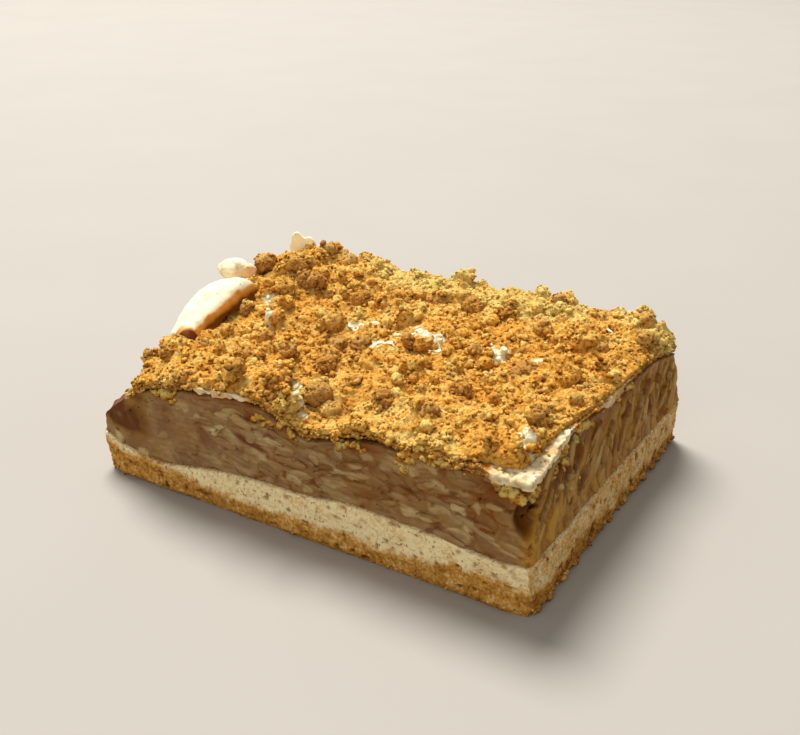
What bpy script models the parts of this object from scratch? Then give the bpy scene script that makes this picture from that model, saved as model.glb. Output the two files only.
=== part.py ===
"""Szarlotka, a cut slab of Polish apple cake, modelled in metres with +Z up.

The slab lies as it was cut from its tin. X runs along the long cut face, which faces -Y, and the
short cut face faces +X. The side facing -X is the one that was baked against the tin. From the
bottom up come the shortcrust base, the sliced apple filling, a thin baked meringue and the crumble.
All four share one net of points, so that each layer follows the one below at an even gap. Three
pieces of broken meringue stand in the crumble at the back left.
"""

import math
import random

import bmesh
import bpy
from mathutils import Matrix, Vector, noise

# Size of the slab
LENGTH = 0.202
WIDTH = 0.153
BASE_HEIGHT = 0.0195
APPLE_TOP = 0.0495
MERINGUE_THICKNESS = 0.0024
CRUMBLE_THICKNESS = 0.0048
LAYER_GAP = 0.0003

# The net of points that all layers share, and how much finer the top of the crumble is
COLUMNS = 18
ROWS = 14
CRUMBLE_FINENESS = 2

# Uneven surfaces: how long their waves are and how high
BASE_TOP_WAVES = (0.022, 0.0016)
BASE_WALL_WAVES = (0.008, 0.0009)
APPLE_TOP_WAVES = (0.024, 0.0018)
APPLE_WALL_WAVES = (0.011, 0.0010)
MERINGUE_WAVES = (0.015, 0.0008)
CRUMBLE_WAVES = (0.009, 0.0058)

# Heights of the rings of points in a wall, as shares of the wall
BASE_WALL_RINGS = (0.12, 0.46, 0.78)
APPLE_WALL_RINGS = (0.10, 0.52, 0.90)

# Sides: how far each one leans in or bulges out on its way up
TIN_SHOULDER_START = 0.012
TIN_SHOULDER_FRONT = 0.019
TIN_SHOULDER_BACK = 0.008
TIN_SHOULDER_SHARPNESS = 2.6
TIN_SHOULDER_FRONT_PART = 0.32
TIN_FLARE = 0.0012
RIGHT_LEAN = 0.0040
RIGHT_BULGE = 0.0036
FRONT_LEAN = 0.0010
BACK_LEAN = 0.0015
KNIFE_WOBBLE = 0.0007
KNIFE_WOBBLE_ALONG = 0.030
KNIFE_WOBBLE_UP = 0.012
CORNER_ROUNDING = 0.0016
BACK_CORNER_ROUNDING = 0.0005
FOOT_ROUNDING = 0.0011

# How far the upper layers' rims stand out or draw back, in shares of a cell of the net
MERINGUE_STANDS_OUT = 0.05
MERINGUE_STANDS_OUT_AT_CORNER = 0.10
MERINGUE_CORNER_REACH = (0.10, 0.22)
CRUMBLE_DRAWS_BACK = 0.10
CRUMBLE_DRAWS_BACK_AT_CORNER = 0.42
CRUMBLE_CORNER_REACH = (0.12, 0.20)

# Swells and hollows: centre x and y, rise in the middle, reach along x and along y
BASE_SWELLS = (
    (-0.068, -0.0765, -0.0070, 0.030, 0.040),
    (0.030, -0.0765, 0.0025, 0.024, 0.030),
    (0.068, -0.0765, 0.0020, 0.009, 0.020),
)
APPLE_SWELLS = (
    (-0.098, -0.0800, -0.0150, 0.028, 0.030),
    (-0.022, -0.0765, 0.0015, 0.014, 0.020),
    (0.007, -0.0765, -0.0062, 0.013, 0.022),
    (0.101, -0.0400, 0.0050, 0.030, 0.030),
    (0.101, 0.0900, -0.0085, 0.034, 0.036),
    (-0.085, 0.0350, 0.0030, 0.034, 0.040),
)
CRUMBLE_SWELLS = (
    (-0.083, 0.0330, 0.0105, 0.028, 0.034),
    (-0.074, -0.0200, -0.0035, 0.012, 0.016),
    (0.092, 0.0660, 0.0092, 0.022, 0.026),
    (0.045, 0.0700, 0.0016, 0.014, 0.012),
    (0.036, 0.0700, 0.0022, 0.060, 0.018),
    (-0.080, -0.0560, 0.0028, 0.016, 0.016),
    (0.030, -0.0100, -0.0012, 0.030, 0.020),
)
CRUMBLE_EDGE_THICKNESS = 0.0022
CRUMBLE_BACK_EDGE_THICKNESS = 0.0050
CRUMBLE_BACK_EDGE_FROM = 0.058
CRUMBLE_THINNEST = 0.0012
CRUMBLE_EDGE_REACH = 0.014
CRUMBLE_EDGE_FULLNESS = 0.6
CRUMBLE_EDGE_WAVES_SHARE = 0.35
FOOT_CRAGS = 0.0022
FOOT_CRAGS_TOP = 0.010
FOOT_CRAGS_SIZE = 0.011
FOOT_CRAGS_FROM = 0.018

# Apple slices that show at the sides
SLICE_SEED = 41
SLICE_COUNT = 84
SLICE_LENGTH = (0.011, 0.020)
SLICE_THICKNESS = (0.0028, 0.0042)
SLICE_STANDS_OUT = (0.0007, 0.0016)
SLICE_ROOT = 0.0032
SLICE_FACE_SHARE = 0.80
SLICE_CORE_INSET = 0.0010
SLICE_EDGE_MARGIN = 0.0016
SLICE_CORNER_MARGIN = 0.45
SLICE_TILT_ON_LONG_CUT = 16
SLICE_TILT_ON_SHORT_CUT = 62
SLICE_TILT_SPREAD_ON_SHORT_CUT = 15
SLICE_HEIGHT_STEP = 0.382
SLICE_HEIGHT_JITTER = 0.07
SMOOTH_FILLING_END = -0.052

# Lumps of crumble, the largest first: how many, smallest and largest radius
LUMP_SEED = 7
LUMP_GRADES = (
    (9, 0.0048, 0.0062),
    (22, 0.0036, 0.0046),
    (24, 0.0027, 0.0035),
)
LUMP_ROOM = 1.05
LUMPS_ON_THE_OUTLINE = (
    (-0.0855, 0.0215, 0.0054),
    (-0.0720, 0.0600, 0.0046),
    (-0.0060, 0.0712, 0.0054),
    (0.0350, 0.0715, 0.0046),
    (0.0480, 0.0710, 0.0050),
    (0.0850, 0.0655, 0.0056),
    (0.0930, 0.0530, 0.0044),
    (-0.0835, -0.0600, 0.0042),
    (-0.0835, -0.0500, 0.0038),
)
LUMP_STANDS_OUT = 0.34
LUMP_CLEAR_OF_MERINGUE = 1.2
LUMP_FROM_EDGE = 0.3
TRIES_PER_LUMP = 40
LUMP_STRETCH = (0.85, 1.20)
LUMP_FLATNESS = (0.70, 0.95)
LUMP_ROUGHNESS = 0.42
LUMP_KNOBS = 1.3

# Broken meringue at the back left: curves that its surfaces pass through
SHELL_WALL = 0.0022
SHELL_KEPT_CLEAR = 0.003
SHELL_RIM = (
    (-0.0715, -0.0450, 0.0555),
    (-0.0705, -0.0335, 0.0590),
    (-0.0725, -0.0225, 0.0620),
    (-0.0710, -0.0100, 0.0635),
    (-0.0700, 0.0010, 0.0625),
)
SHELL_CREST = (
    (-0.0810, -0.0460, 0.0560),
    (-0.0850, -0.0340, 0.0640),
    (-0.0865, -0.0200, 0.0690),
    (-0.0820, -0.0070, 0.0705),
    (-0.0745, 0.0010, 0.0665),
)
SHELL_FOOT = (
    (-0.0860, -0.0450, 0.0545),
    (-0.0890, -0.0340, 0.0565),
    (-0.0895, -0.0200, 0.0580),
    (-0.0870, -0.0050, 0.0600),
    (-0.0790, 0.0030, 0.0620),
)
SHELL_STATIONS = 9
SHELL_PROFILE_STEPS = 7
NUGGET_CENTRE = (-0.0872, 0.0065, 0.0684)
NUGGET_RADII = (0.0066, 0.0054, 0.0048)
NUGGET_ROUGHNESS = 0.16
NUGGET_KNOBS = 1.6
FLAKE_FOOT = (-0.0835, 0.0490, 0.0665)
FLAKE_WIDTH = 0.0130
FLAKE_HEIGHT = 0.0090
FLAKE_THICKNESS = 0.0022
FLAKE_TURN = 28
FLAKE_THIN_EDGE = 0.92
FLAKE_OUTLINE = (
    (-0.50, -0.42),
    (0.50, -0.42),
    (0.56, 0.24),
    (0.30, 0.62),
    (0.08, 0.48),
    (-0.18, 0.90),
    (-0.42, 0.72),
    (-0.54, 0.20),
)
POCKET_CLEARANCE = 0.00035
SHARP_ABOVE = 48


def remove_everything():
    for obj in list(bpy.data.objects):
        bpy.data.objects.remove(obj, do_unlink=True)


def make_material(name, colour, roughness, subsurface=0.0):
    """A food finish: a colour, how matt it is and how far light soaks into it."""
    material = bpy.data.materials.new(name)
    material.use_nodes = True
    shader = material.node_tree.nodes["Principled BSDF"]
    shader.inputs["Base Color"].default_value = (*colour, 1.0)
    shader.inputs["Roughness"].default_value = roughness
    shader.inputs["Metallic"].default_value = 0.0
    shader.inputs["Subsurface Weight"].default_value = subsurface
    return material


def new_object(name, shape, material):
    """Turns a bmesh into a named object in the scene, with its faces pointing out."""
    bmesh.ops.recalc_face_normals(shape, faces=shape.faces)
    mesh = bpy.data.meshes.new(name)
    shape.to_mesh(mesh)
    shape.free()
    mesh.materials.append(material)
    obj = bpy.data.objects.new(name, mesh)
    bpy.context.scene.collection.objects.link(obj)
    return obj


def swell(x, y, swells):
    """The sum of smooth bell-shaped rises and hollows at one place."""
    total = 0.0
    for centre_x, centre_y, rise, reach_x, reach_y in swells:
        far = ((x - centre_x) / reach_x) ** 2 + ((y - centre_y) / reach_y) ** 2
        total += rise * math.exp(-far)
    return total


def ripple(x, y, z, waves):
    """Uneven ground: smooth noise with waves of a given length and height."""
    size, height = waves
    return height * noise.noise(Vector((x, y, z)) / size)


def base_top(x, y):
    return BASE_HEIGHT + swell(x, y, BASE_SWELLS) + ripple(x, y, 1.0, BASE_TOP_WAVES)


def apple_top(x, y):
    return APPLE_TOP + swell(x, y, APPLE_SWELLS) + ripple(x, y, 2.0, APPLE_TOP_WAVES)


def meringue_thickness(x, y):
    return MERINGUE_THICKNESS + ripple(x, y, 3.0, MERINGUE_WAVES)


def crumble_thickness(x, y, from_edge):
    """Thin at the front and side edges, thicker inside, heaped at the back left, lumpy all over."""
    share = min(from_edge / CRUMBLE_EDGE_REACH, 1.0) ** CRUMBLE_EDGE_FULLNESS
    to_back = (y - CRUMBLE_BACK_EDGE_FROM) / (WIDTH / 2 - CRUMBLE_BACK_EDGE_FROM)
    more_at_back = CRUMBLE_BACK_EDGE_THICKNESS - CRUMBLE_EDGE_THICKNESS
    edge = CRUMBLE_EDGE_THICKNESS + more_at_back * min(max(to_back, 0.0), 1.0)
    full = CRUMBLE_THICKNESS + swell(x, y, CRUMBLE_SWELLS)
    waves = CRUMBLE_EDGE_WAVES_SHARE + (1 - CRUMBLE_EDGE_WAVES_SHARE) * share
    lumpy = ripple(x, y, 4.0, CRUMBLE_WAVES) * waves
    return max(edge + (full - edge) * share + lumpy, CRUMBLE_THINNEST)


def left_inset(z, v):
    """The side from the tin: a slight flare, then a rounded shoulder, widest at the front."""
    to_back = min(v / TIN_SHOULDER_FRONT_PART, 1.0)
    shoulder = TIN_SHOULDER_FRONT + (TIN_SHOULDER_BACK - TIN_SHOULDER_FRONT) * to_back
    top = APPLE_TOP + swell(shoulder - LENGTH / 2, (v - 0.5) * WIDTH, APPLE_SWELLS)
    climb = max(z - TIN_SHOULDER_START, 0.0) / (top - TIN_SHOULDER_START)
    flare = TIN_FLARE * max(1 - z / TIN_SHOULDER_START, 0.0)
    return flare + shoulder * min(climb, 1.0) ** TIN_SHOULDER_SHARPNESS


def right_inset(z, v):
    climb = z / APPLE_TOP
    return RIGHT_LEAN * climb - RIGHT_BULGE * v * v * math.sin(math.pi * min(climb, 1.0))


def wobble(along, z):
    """How far the knife strayed at one place of a cut face."""
    place = Vector((along / KNIFE_WOBBLE_ALONG, z / KNIFE_WOBBLE_UP, 9.0))
    return KNIFE_WOBBLE * noise.noise(place)


def plan_point(i, j, z):
    """Where the point of the net in column i and row j lies at height z."""
    u = i / COLUMNS
    v = j / ROWS
    nominal_x = (u - 0.5) * LENGTH
    nominal_y = (v - 0.5) * WIDTH
    climb = z / APPLE_TOP
    left = -LENGTH / 2 + left_inset(z, v)
    right = LENGTH / 2 - right_inset(z, v) + wobble(nominal_y, z)
    front = -WIDTH / 2 + FRONT_LEAN * climb + wobble(nominal_x + 1.0, z)
    back = WIDTH / 2 - BACK_LEAN * climb + wobble(nominal_x + 2.0, z)
    if i in (0, COLUMNS) and j in (0, ROWS):
        rounding = CORNER_ROUNDING if j == 0 else BACK_CORNER_ROUNDING
        left += rounding
        right -= rounding
        front += rounding
        back -= rounding
    return left + (right - left) * u, front + (back - front) * v


def net_at(height):
    """A surface over the whole net: a dictionary from (column, row) to its point."""
    points = {}
    for i in range(COLUMNS + 1):
        for j in range(ROWS + 1):
            z = height((i / COLUMNS - 0.5) * LENGTH, (j / ROWS - 0.5) * WIDTH)
            for _ in range(3):
                x, y = plan_point(i, j, z)
                z = height(x, y)
            points[i, j] = Vector((x, y, z))
    return points


def raised(net, rise):
    """The same net moved up by a distance, or by a function of x and y."""
    lift = rise if callable(rise) else lambda x, y: rise
    return {key: point + Vector((0, 0, lift(point.x, point.y))) for key, point in net.items()}


def inner_neighbour(i, j):
    return min(max(i, 1), COLUMNS - 1), min(max(j, 1), ROWS - 1)


def edge_moved(net, share):
    """The net with its rim slid along its own lines, inwards by a share of one cell."""
    moved = dict(net)
    for i, j in rim_keys():
        inner = net[inner_neighbour(i, j)]
        moved[i, j] = net[i, j].lerp(inner, share(i / COLUMNS, j / ROWS))
    return moved


def rim_keys(finer=1):
    """The rim of the net, once round, seen from above against the clock."""
    columns = COLUMNS * finer
    rows = ROWS * finer
    keys = [(i, 0) for i in range(columns)]
    keys += [(columns, j) for j in range(rows)]
    keys += [(i, rows) for i in range(columns, 0, -1)]
    keys += [(0, j) for j in range(rows, 0, -1)]
    return keys


def add_sheet(shape, net, finer, facing_up):
    """Lays triangles over a net and returns its points as vertices."""
    verts = {key: shape.verts.new(point) for key, point in net.items()}
    for i in range(COLUMNS * finer):
        for j in range(ROWS * finer):
            quad = [verts[i, j], verts[i + 1, j], verts[i + 1, j + 1], verts[i, j + 1]]
            for face in ((quad[0], quad[1], quad[2]), (quad[0], quad[2], quad[3])):
                shape.faces.new(face if facing_up else face[::-1])
    return verts


def closed_layer(lower, upper, wall_rings=(), finer=1):
    """A closed body between two nets, its wall passing through the given rings of points.

    The upper net may have more points than the lower one, by the factor finer.
    """
    shape = bmesh.new()
    floor = add_sheet(shape, lower, 1, False)
    roof = add_sheet(shape, upper, finer, True)
    rings = [[floor[key] for key in rim_keys()]]
    for ring in wall_rings:
        rings.append([shape.verts.new(point) for point in ring])
    for below, above in zip(rings, rings[1:]):
        for n in range(len(below)):
            m = (n + 1) % len(below)
            shape.faces.new((below[n], below[m], above[m]))
            shape.faces.new((below[n], above[m], above[n]))
    below = rings[-1]
    above = [roof[key] for key in rim_keys(finer)]
    for n in range(len(below)):
        m = (n + 1) % len(below)
        steps = [above[(n * finer + k) % len(above)] for k in range(finer + 1)]
        for first, second in zip(steps, steps[1:]):
            shape.faces.new((below[n], second, first))
        shape.faces.new((below[n], below[m], steps[-1]))
    return shape


def outward(i, j):
    """The direction that points away from the slab at a rim point."""
    away = Vector(((i == COLUMNS) - (i == 0), (j == ROWS) - (j == 0), 0))
    return away.normalized()


def wall_ring(lower, upper, share, offset):
    """Rim points part of the way up between two nets, moved out by offset(along, z)."""
    ring = []
    for i, j in rim_keys():
        z = lower[i, j].z + (upper[i, j].z - lower[i, j].z) * share
        x, y = plan_point(i, j, z)
        ring.append(Vector((x, y, z)) + outward(i, j) * offset(x, y, z))
    return ring


def crumbly(x, y, z):
    """Relief on the wall of the base, with crags at the foot of its far right end."""
    relief = ripple(x, y, z, BASE_WALL_WAVES)
    if x > 0 and y > FOOT_CRAGS_FROM:
        crags = FOOT_CRAGS * max(1 - z / FOOT_CRAGS_TOP, 0.0)
        relief += crags * (0.5 + noise.noise(Vector((y / FOOT_CRAGS_SIZE, z, 3.0))))
    return relief


def make_base(top_net, material):
    """The shortcrust base: flat below, its foot a little rounded and crumbly."""
    foot_net = {}
    for i in range(COLUMNS + 1):
        for j in range(ROWS + 1):
            x, y = plan_point(i, j, 0.0)
            foot_net[i, j] = Vector((x, y, 0.0)) - outward(i, j) * FOOT_ROUNDING
    rings = [wall_ring(foot_net, top_net, share, crumbly) for share in BASE_WALL_RINGS]
    return new_object("pastry_base", closed_layer(foot_net, top_net, rings), material)


def slice_outline(length, thickness):
    """Half-moon outline of one slice seen on the cut, as points along and across."""
    half = length / 2
    return (
        (-half, 0.0),
        (-half * 0.55, -thickness * 0.46),
        (half * 0.45, -thickness * 0.50),
        (half, -thickness * 0.06),
        (half * 0.60, thickness * 0.46),
        (-half * 0.50, thickness * 0.50),
    )


def add_slice(shape, place, away, along, length, thickness, stands_out):
    """One apple slice that lies in a side wall, its face just proud of it."""
    across = away.cross(along)
    rings = []
    for depth, scale in ((-SLICE_ROOT, 1.0), (stands_out, SLICE_FACE_SHARE)):
        ring = []
        for a, c in slice_outline(length * scale, thickness * scale):
            ring.append(shape.verts.new(place + along * a + across * c + away * depth))
        rings.append(ring)
    shape.faces.new(rings[0][::-1])
    shape.faces.new(rings[-1])
    for below, above in zip(rings, rings[1:]):
        for n in range(len(below)):
            m = (n + 1) % len(below)
            shape.faces.new((below[n], below[m], above[m], above[n]))


def join_pieces(core, pieces, material):
    """Fuses loose pieces onto a core with one Boolean union, then removes them."""
    holder = bpy.data.collections.new("pieces")
    bpy.context.scene.collection.children.link(holder)
    for n, shape in enumerate(pieces):
        piece = new_object(f"piece_{n}", shape, material)
        bpy.context.scene.collection.objects.unlink(piece)
        holder.objects.link(piece)
    union = core.modifiers.new("fused", "BOOLEAN")
    union.operation = "UNION"
    union.operand_type = "COLLECTION"
    union.collection = holder
    union.solver = "EXACT"
    apply_modifiers(core)
    for piece in list(holder.objects):
        bpy.data.objects.remove(piece, do_unlink=True)
    bpy.data.collections.remove(holder)


def apply_modifiers(obj):
    graph = bpy.context.evaluated_depsgraph_get()
    finished = bpy.data.meshes.new_from_object(obj.evaluated_get(graph))
    obj.modifiers.clear()
    obj.data = finished


def keep_largest_body(obj):
    """Drops any scrap that hangs on nothing, such as a piece that missed the core."""
    shape = bmesh.new()
    shape.from_mesh(obj.data)
    unseen = set(shape.verts)
    bodies = []
    while unseen:
        body = [unseen.pop()]
        for vert in body:
            for edge in vert.link_edges:
                other = edge.other_vert(vert)
                if other in unseen:
                    unseen.remove(other)
                    body.append(other)
        bodies.append(body)
    bodies.sort(key=len)
    for body in bodies[:-1]:
        bmesh.ops.delete(shape, geom=body, context="VERTS")
    shape.to_mesh(obj.data)
    shape.free()


def wall_places(rng):
    """Places for slices, spread evenly round the three cuts: rim position and share of height."""
    step = (2 * LENGTH + WIDTH) / SLICE_COUNT
    for n in range(SLICE_COUNT):
        along = (n + rng.uniform(0.25, 0.75)) * step
        jitter = rng.uniform(-SLICE_HEIGHT_JITTER, SLICE_HEIGHT_JITTER)
        yield along, (n * SLICE_HEIGHT_STEP + jitter) % 1.0


def wall_frame(along):
    """The side, the position on it from -0.5 to 0.5, its outward and its lengthwise direction."""
    if along < LENGTH:
        return "front", along / LENGTH - 0.5, Vector((0, -1, 0)), Vector((1, 0, 0))
    along -= LENGTH
    if along < WIDTH:
        return "right", along / WIDTH - 0.5, Vector((1, 0, 0)), Vector((0, 1, 0))
    along -= WIDTH
    return "back", 0.5 - along / LENGTH, Vector((0, 1, 0)), Vector((-1, 0, 0))


def wall_point(side, place, height):
    """A point of a cut face, place running from -0.5 to 0.5 along it."""
    if side == "right":
        x, y = plan_point(COLUMNS, (place + 0.5) * ROWS, height)
    else:
        x, y = plan_point((place + 0.5) * COLUMNS, 0 if side == "front" else ROWS, height)
    return Vector((x, y, height))


def cut_slices(rng):
    """The slices that the knife laid open, each one a small closed shape."""
    for along, share in wall_places(rng):
        side, place, away, run = wall_frame(along)
        length = rng.uniform(*SLICE_LENGTH)
        thickness = rng.uniform(*SLICE_THICKNESS)
        stands_out = rng.uniform(*SLICE_STANDS_OUT)
        if side == "right":
            tilt = rng.gauss(SLICE_TILT_ON_SHORT_CUT, SLICE_TILT_SPREAD_ON_SHORT_CUT)
        else:
            tilt = rng.gauss(0.0, SLICE_TILT_ON_LONG_CUT)
        run = Matrix.Rotation(math.radians(tilt), 3, away) @ run
        foot = wall_point(side, place, BASE_HEIGHT)
        reach = abs(run.z) * length / 2 + thickness / 2 + SLICE_EDGE_MARGIN
        low = base_top(foot.x, foot.y) + reach
        high = apple_top(foot.x, foot.y) - reach
        from_corner = (0.5 - abs(place)) * (WIDTH if side == "right" else LENGTH)
        if high < low or from_corner < length * SLICE_CORNER_MARGIN:
            continue
        if side != "right" and foot.x < SMOOTH_FILLING_END:
            continue
        middle = wall_point(side, place, low + (high - low) * share) - away * SLICE_CORE_INSET
        shape = bmesh.new()
        add_slice(shape, middle, away, run, length, thickness, stands_out)
        yield shape


def make_filling(lower, upper, material):
    """Sliced apple: a core set back a little, with the slices that show fused onto it."""
    def set_back(x, y, z):
        return ripple(x, y, z, APPLE_WALL_WAVES) - SLICE_CORE_INSET

    rings = [wall_ring(lower, upper, share, set_back) for share in APPLE_WALL_RINGS]
    core = new_object("apple_filling", closed_layer(lower, upper, rings), material)
    join_pieces(core, list(cut_slices(random.Random(SLICE_SEED))), material)
    keep_largest_body(core)
    return core


def make_lump(rng, centre, radius, fineness):
    """One lump of crumble: a ball with a rough, knobbly surface."""
    shape = bmesh.new()
    bmesh.ops.create_icosphere(shape, subdivisions=fineness, radius=radius)
    tip = Matrix.Rotation(rng.uniform(0, 1), 3, "X")
    turn = Matrix.Rotation(rng.uniform(0, math.tau), 3, "Z")
    across = rng.uniform(*LUMP_STRETCH)
    along = rng.uniform(*LUMP_STRETCH)
    stretch = Vector((across, along, rng.uniform(*LUMP_FLATNESS)))
    seed = Vector((rng.uniform(0, 100), 0, 0))
    for vert in shape.verts:
        knob = 1 + LUMP_ROUGHNESS * noise.noise(vert.co / radius * LUMP_KNOBS + seed)
        vert.co = turn @ ((tip @ vert.co) * stretch) * knob + centre
    return shape


def over(place, radius, spots):
    """True where a place is too near one of the spots, each of them x, y and its own radius."""
    return any(math.hypot(place[0] - x, place[1] - y) < radius + reach for x, y, reach in spots)


def scattered_lumps(rng, upper, kept_clear):
    """Where lumps lie: first those on the outline, then three sizes at random, largest first."""
    taken = list(kept_clear)
    for x, y, radius in LUMPS_ON_THE_OUTLINE:
        taken.append((x, y, radius))
        yield x, y, radius
    for count, smallest, largest in LUMP_GRADES:
        placed = 0
        for _ in range(count * TRIES_PER_LUMP):
            radius = rng.uniform(smallest, largest)
            x = rng.uniform(-0.5, 0.5) * LENGTH
            y = rng.uniform(-0.5, 0.5) * WIDTH
            if placed == count or over((x, y), radius * LUMP_ROOM, taken):
                continue
            if height_on(upper, CRUMBLE_FINENESS, x, y, -radius * LUMP_FROM_EDGE) is None:
                continue
            placed += 1
            taken.append((x, y, radius * LUMP_ROOM))
            yield x, y, radius


def height_on(net, finer, x, y, margin=0.0):
    """The height of a net at x and y, or None outside its rim drawn out by a margin."""
    columns = COLUMNS * finer
    rows = ROWS * finer
    j = (y / WIDTH + 0.5) * rows
    for _ in range(3):
        row = min(max(int(round(j)), 0), rows)
        left, right = net[0, row], net[columns, row]
        i = (x - left.x) / (right.x - left.x) * columns
        column = min(max(int(round(i)), 0), columns)
        front, back = net[column, 0], net[column, rows]
        j = (y - front.y) / (back.y - front.y) * rows
    clear = min(x - left.x, right.x - x, y - front.y, back.y - y)
    if clear < -margin:
        return None
    i = min(max(i, 0.0), columns - 1e-6)
    j = min(max(j, 0.0), rows - 1e-6)
    return on_net(net, i, j).z


def make_crumble(meringue_top, lower, upper, kept_clear, material):
    """The crumble: an uneven core with lumps of three sizes fused on, the largest first."""
    layer = closed_layer(lower, upper, finer=CRUMBLE_FINENESS)
    core = new_object("crumble_topping", layer, material)
    rng = random.Random(LUMP_SEED)
    lumps = []
    for x, y, radius in scattered_lumps(rng, upper, kept_clear):
        ground = height_on(upper, CRUMBLE_FINENESS, x, y, LENGTH)
        floor = height_on(meringue_top, 1, x, y, LENGTH)
        z = max(ground + radius * LUMP_STANDS_OUT, floor + radius * LUMP_CLEAR_OF_MERINGUE)
        fineness = 2 if radius > LUMP_GRADES[0][1] else 1
        lumps.append(make_lump(rng, Vector((x, y, z)), radius, fineness))
    join_pieces(core, lumps, material)
    return core


def on_net(net, i, j):
    """A point of a net between its own columns and rows."""
    a = int(i)
    b = int(j)
    near = net[a, b].lerp(net[a + 1, b], i - a)
    far = net[a, b + 1].lerp(net[a + 1, b + 1], i - a)
    return near.lerp(far, j - b)


def smooth_through(points, share):
    """A point on a smooth curve through the given points, share running from 0 to 1."""
    spans = len(points) - 1
    n = min(int(share * spans), spans - 1)
    t = share * spans - n
    p = [Vector(points[min(max(n + k, 0), spans)]) for k in (-1, 0, 1, 2)]
    bend = 2 * p[0] - 5 * p[1] + 4 * p[2] - p[3]
    twist = 3 * (p[1] - p[2]) + p[3] - p[0]
    return p[1] + 0.5 * t * ((p[2] - p[0]) + t * bend + t * t * twist)


def shell_shape(grow):
    """The curled piece of meringue crust: a thin sheet bowed over from its foot to its rim."""
    shape = bmesh.new()
    grid = []
    for a in range(SHELL_STATIONS):
        along = a / (SHELL_STATIONS - 1)
        profile = [smooth_through(line, along) for line in (SHELL_FOOT, SHELL_CREST, SHELL_RIM)]
        row = []
        for b in range(SHELL_PROFILE_STEPS):
            across = b / (SHELL_PROFILE_STEPS - 1)
            point = smooth_through(profile, across)
            row.append(shape.verts.new(point))
        grid.append(row)
    for a in range(SHELL_STATIONS - 1):
        for b in range(SHELL_PROFILE_STEPS - 1):
            shape.faces.new((grid[a][b], grid[a + 1][b], grid[a + 1][b + 1], grid[a][b + 1]))
    bmesh.ops.recalc_face_normals(shape, faces=shape.faces)
    bmesh.ops.solidify(shape, geom=shape.faces, thickness=SHELL_WALL)
    if grow:
        swell_out(shape, grow)
    return shape


def swell_out(shape, distance):
    """Moves every point of a closed shape out along its normal."""
    bmesh.ops.recalc_face_normals(shape, faces=shape.faces)
    shape.normal_update()
    moves = [(vert, vert.normal * distance) for vert in shape.verts]
    for vert, move in moves:
        vert.co += move


def nugget_shape(grow):
    """A small knob of meringue with one rounded and one broken side."""
    shape = bmesh.new()
    bmesh.ops.create_icosphere(shape, subdivisions=2, radius=1.0)
    for vert in shape.verts:
        knob = 1 + NUGGET_ROUGHNESS * noise.noise(vert.co * NUGGET_KNOBS + Vector((3, 5, 8)))
        radii = Vector(NUGGET_RADII) + Vector((grow, grow, grow))
        vert.co = vert.co * radii * knob + Vector(NUGGET_CENTRE)
    return shape


def flake_shape(grow):
    """A flat chip of meringue standing on edge, its top broken into a ragged line."""
    shape = bmesh.new()
    turn = Matrix.Rotation(math.radians(FLAKE_TURN), 3, "Z")
    rings = []
    for side, scale in ((-1, FLAKE_THIN_EDGE), (0, 1.0), (1, FLAKE_THIN_EDGE)):
        ring = []
        for a, c in FLAKE_OUTLINE:
            across = a * FLAKE_WIDTH * scale
            up = c * FLAKE_HEIGHT * scale
            place = turn @ Vector((across, side * FLAKE_THICKNESS / 2, up))
            ring.append(shape.verts.new(place + Vector(FLAKE_FOOT)))
        rings.append(ring)
    shape.faces.new(rings[0])
    shape.faces.new(rings[-1][::-1])
    for below, above in zip(rings, rings[1:]):
        for n in range(len(below)):
            m = (n + 1) % len(below)
            shape.faces.new((below[n], above[n], above[m], below[m]))
    bmesh.ops.triangulate(shape, faces=shape.faces)
    if grow:
        swell_out(shape, grow)
    return shape


def cut_pocket(target, shape, material):
    """Cuts from the target the room that a standing piece needs, with a little clearance."""
    cutter = new_object("cutter", shape, material)
    cutter.hide_render = True
    cutter.display_type = "WIRE"
    cut = target.modifiers.new("pocket", "BOOLEAN")
    cut.operation = "DIFFERENCE"
    cut.object = cutter
    cut.solver = "EXACT"
    apply_modifiers(target)
    bpy.data.objects.remove(cutter, do_unlink=True)


def crumble_surface(low):
    """The top of the crumble, on a net finer than the one it lies on."""
    high = {}
    columns = COLUMNS * CRUMBLE_FINENESS
    rows = ROWS * CRUMBLE_FINENESS
    for i in range(columns + 1):
        for j in range(rows + 1):
            a = min(i / CRUMBLE_FINENESS, COLUMNS - 1e-6)
            b = min(j / CRUMBLE_FINENESS, ROWS - 1e-6)
            ground = on_net(low, a, b)
            from_edge = min(
                min(i, columns - i) / columns * LENGTH,
                min(j, rows - j) / rows * WIDTH,
            )
            thickness = crumble_thickness(ground.x, ground.y, from_edge)
            high[i, j] = ground + Vector((0, 0, thickness))
    return high


def near_front_right(u, v, reach):
    """One at the front right corner of the net, falling to nothing away from it."""
    return math.exp(-(((u - 1.0) / reach[0]) ** 2 + (v / reach[1]) ** 2))


def rim_share_of_meringue(u, v):
    """The meringue stands a little proud of the apples, most at the front right corner."""
    corner = near_front_right(u, v, MERINGUE_CORNER_REACH)
    return -MERINGUE_STANDS_OUT - MERINGUE_STANDS_OUT_AT_CORNER * corner


def rim_share_of_crumble(u, v):
    """The crumble stops short of the edge, most at the front right corner."""
    corner = near_front_right(u, v, CRUMBLE_CORNER_REACH)
    return CRUMBLE_DRAWS_BACK + CRUMBLE_DRAWS_BACK_AT_CORNER * corner


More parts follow.
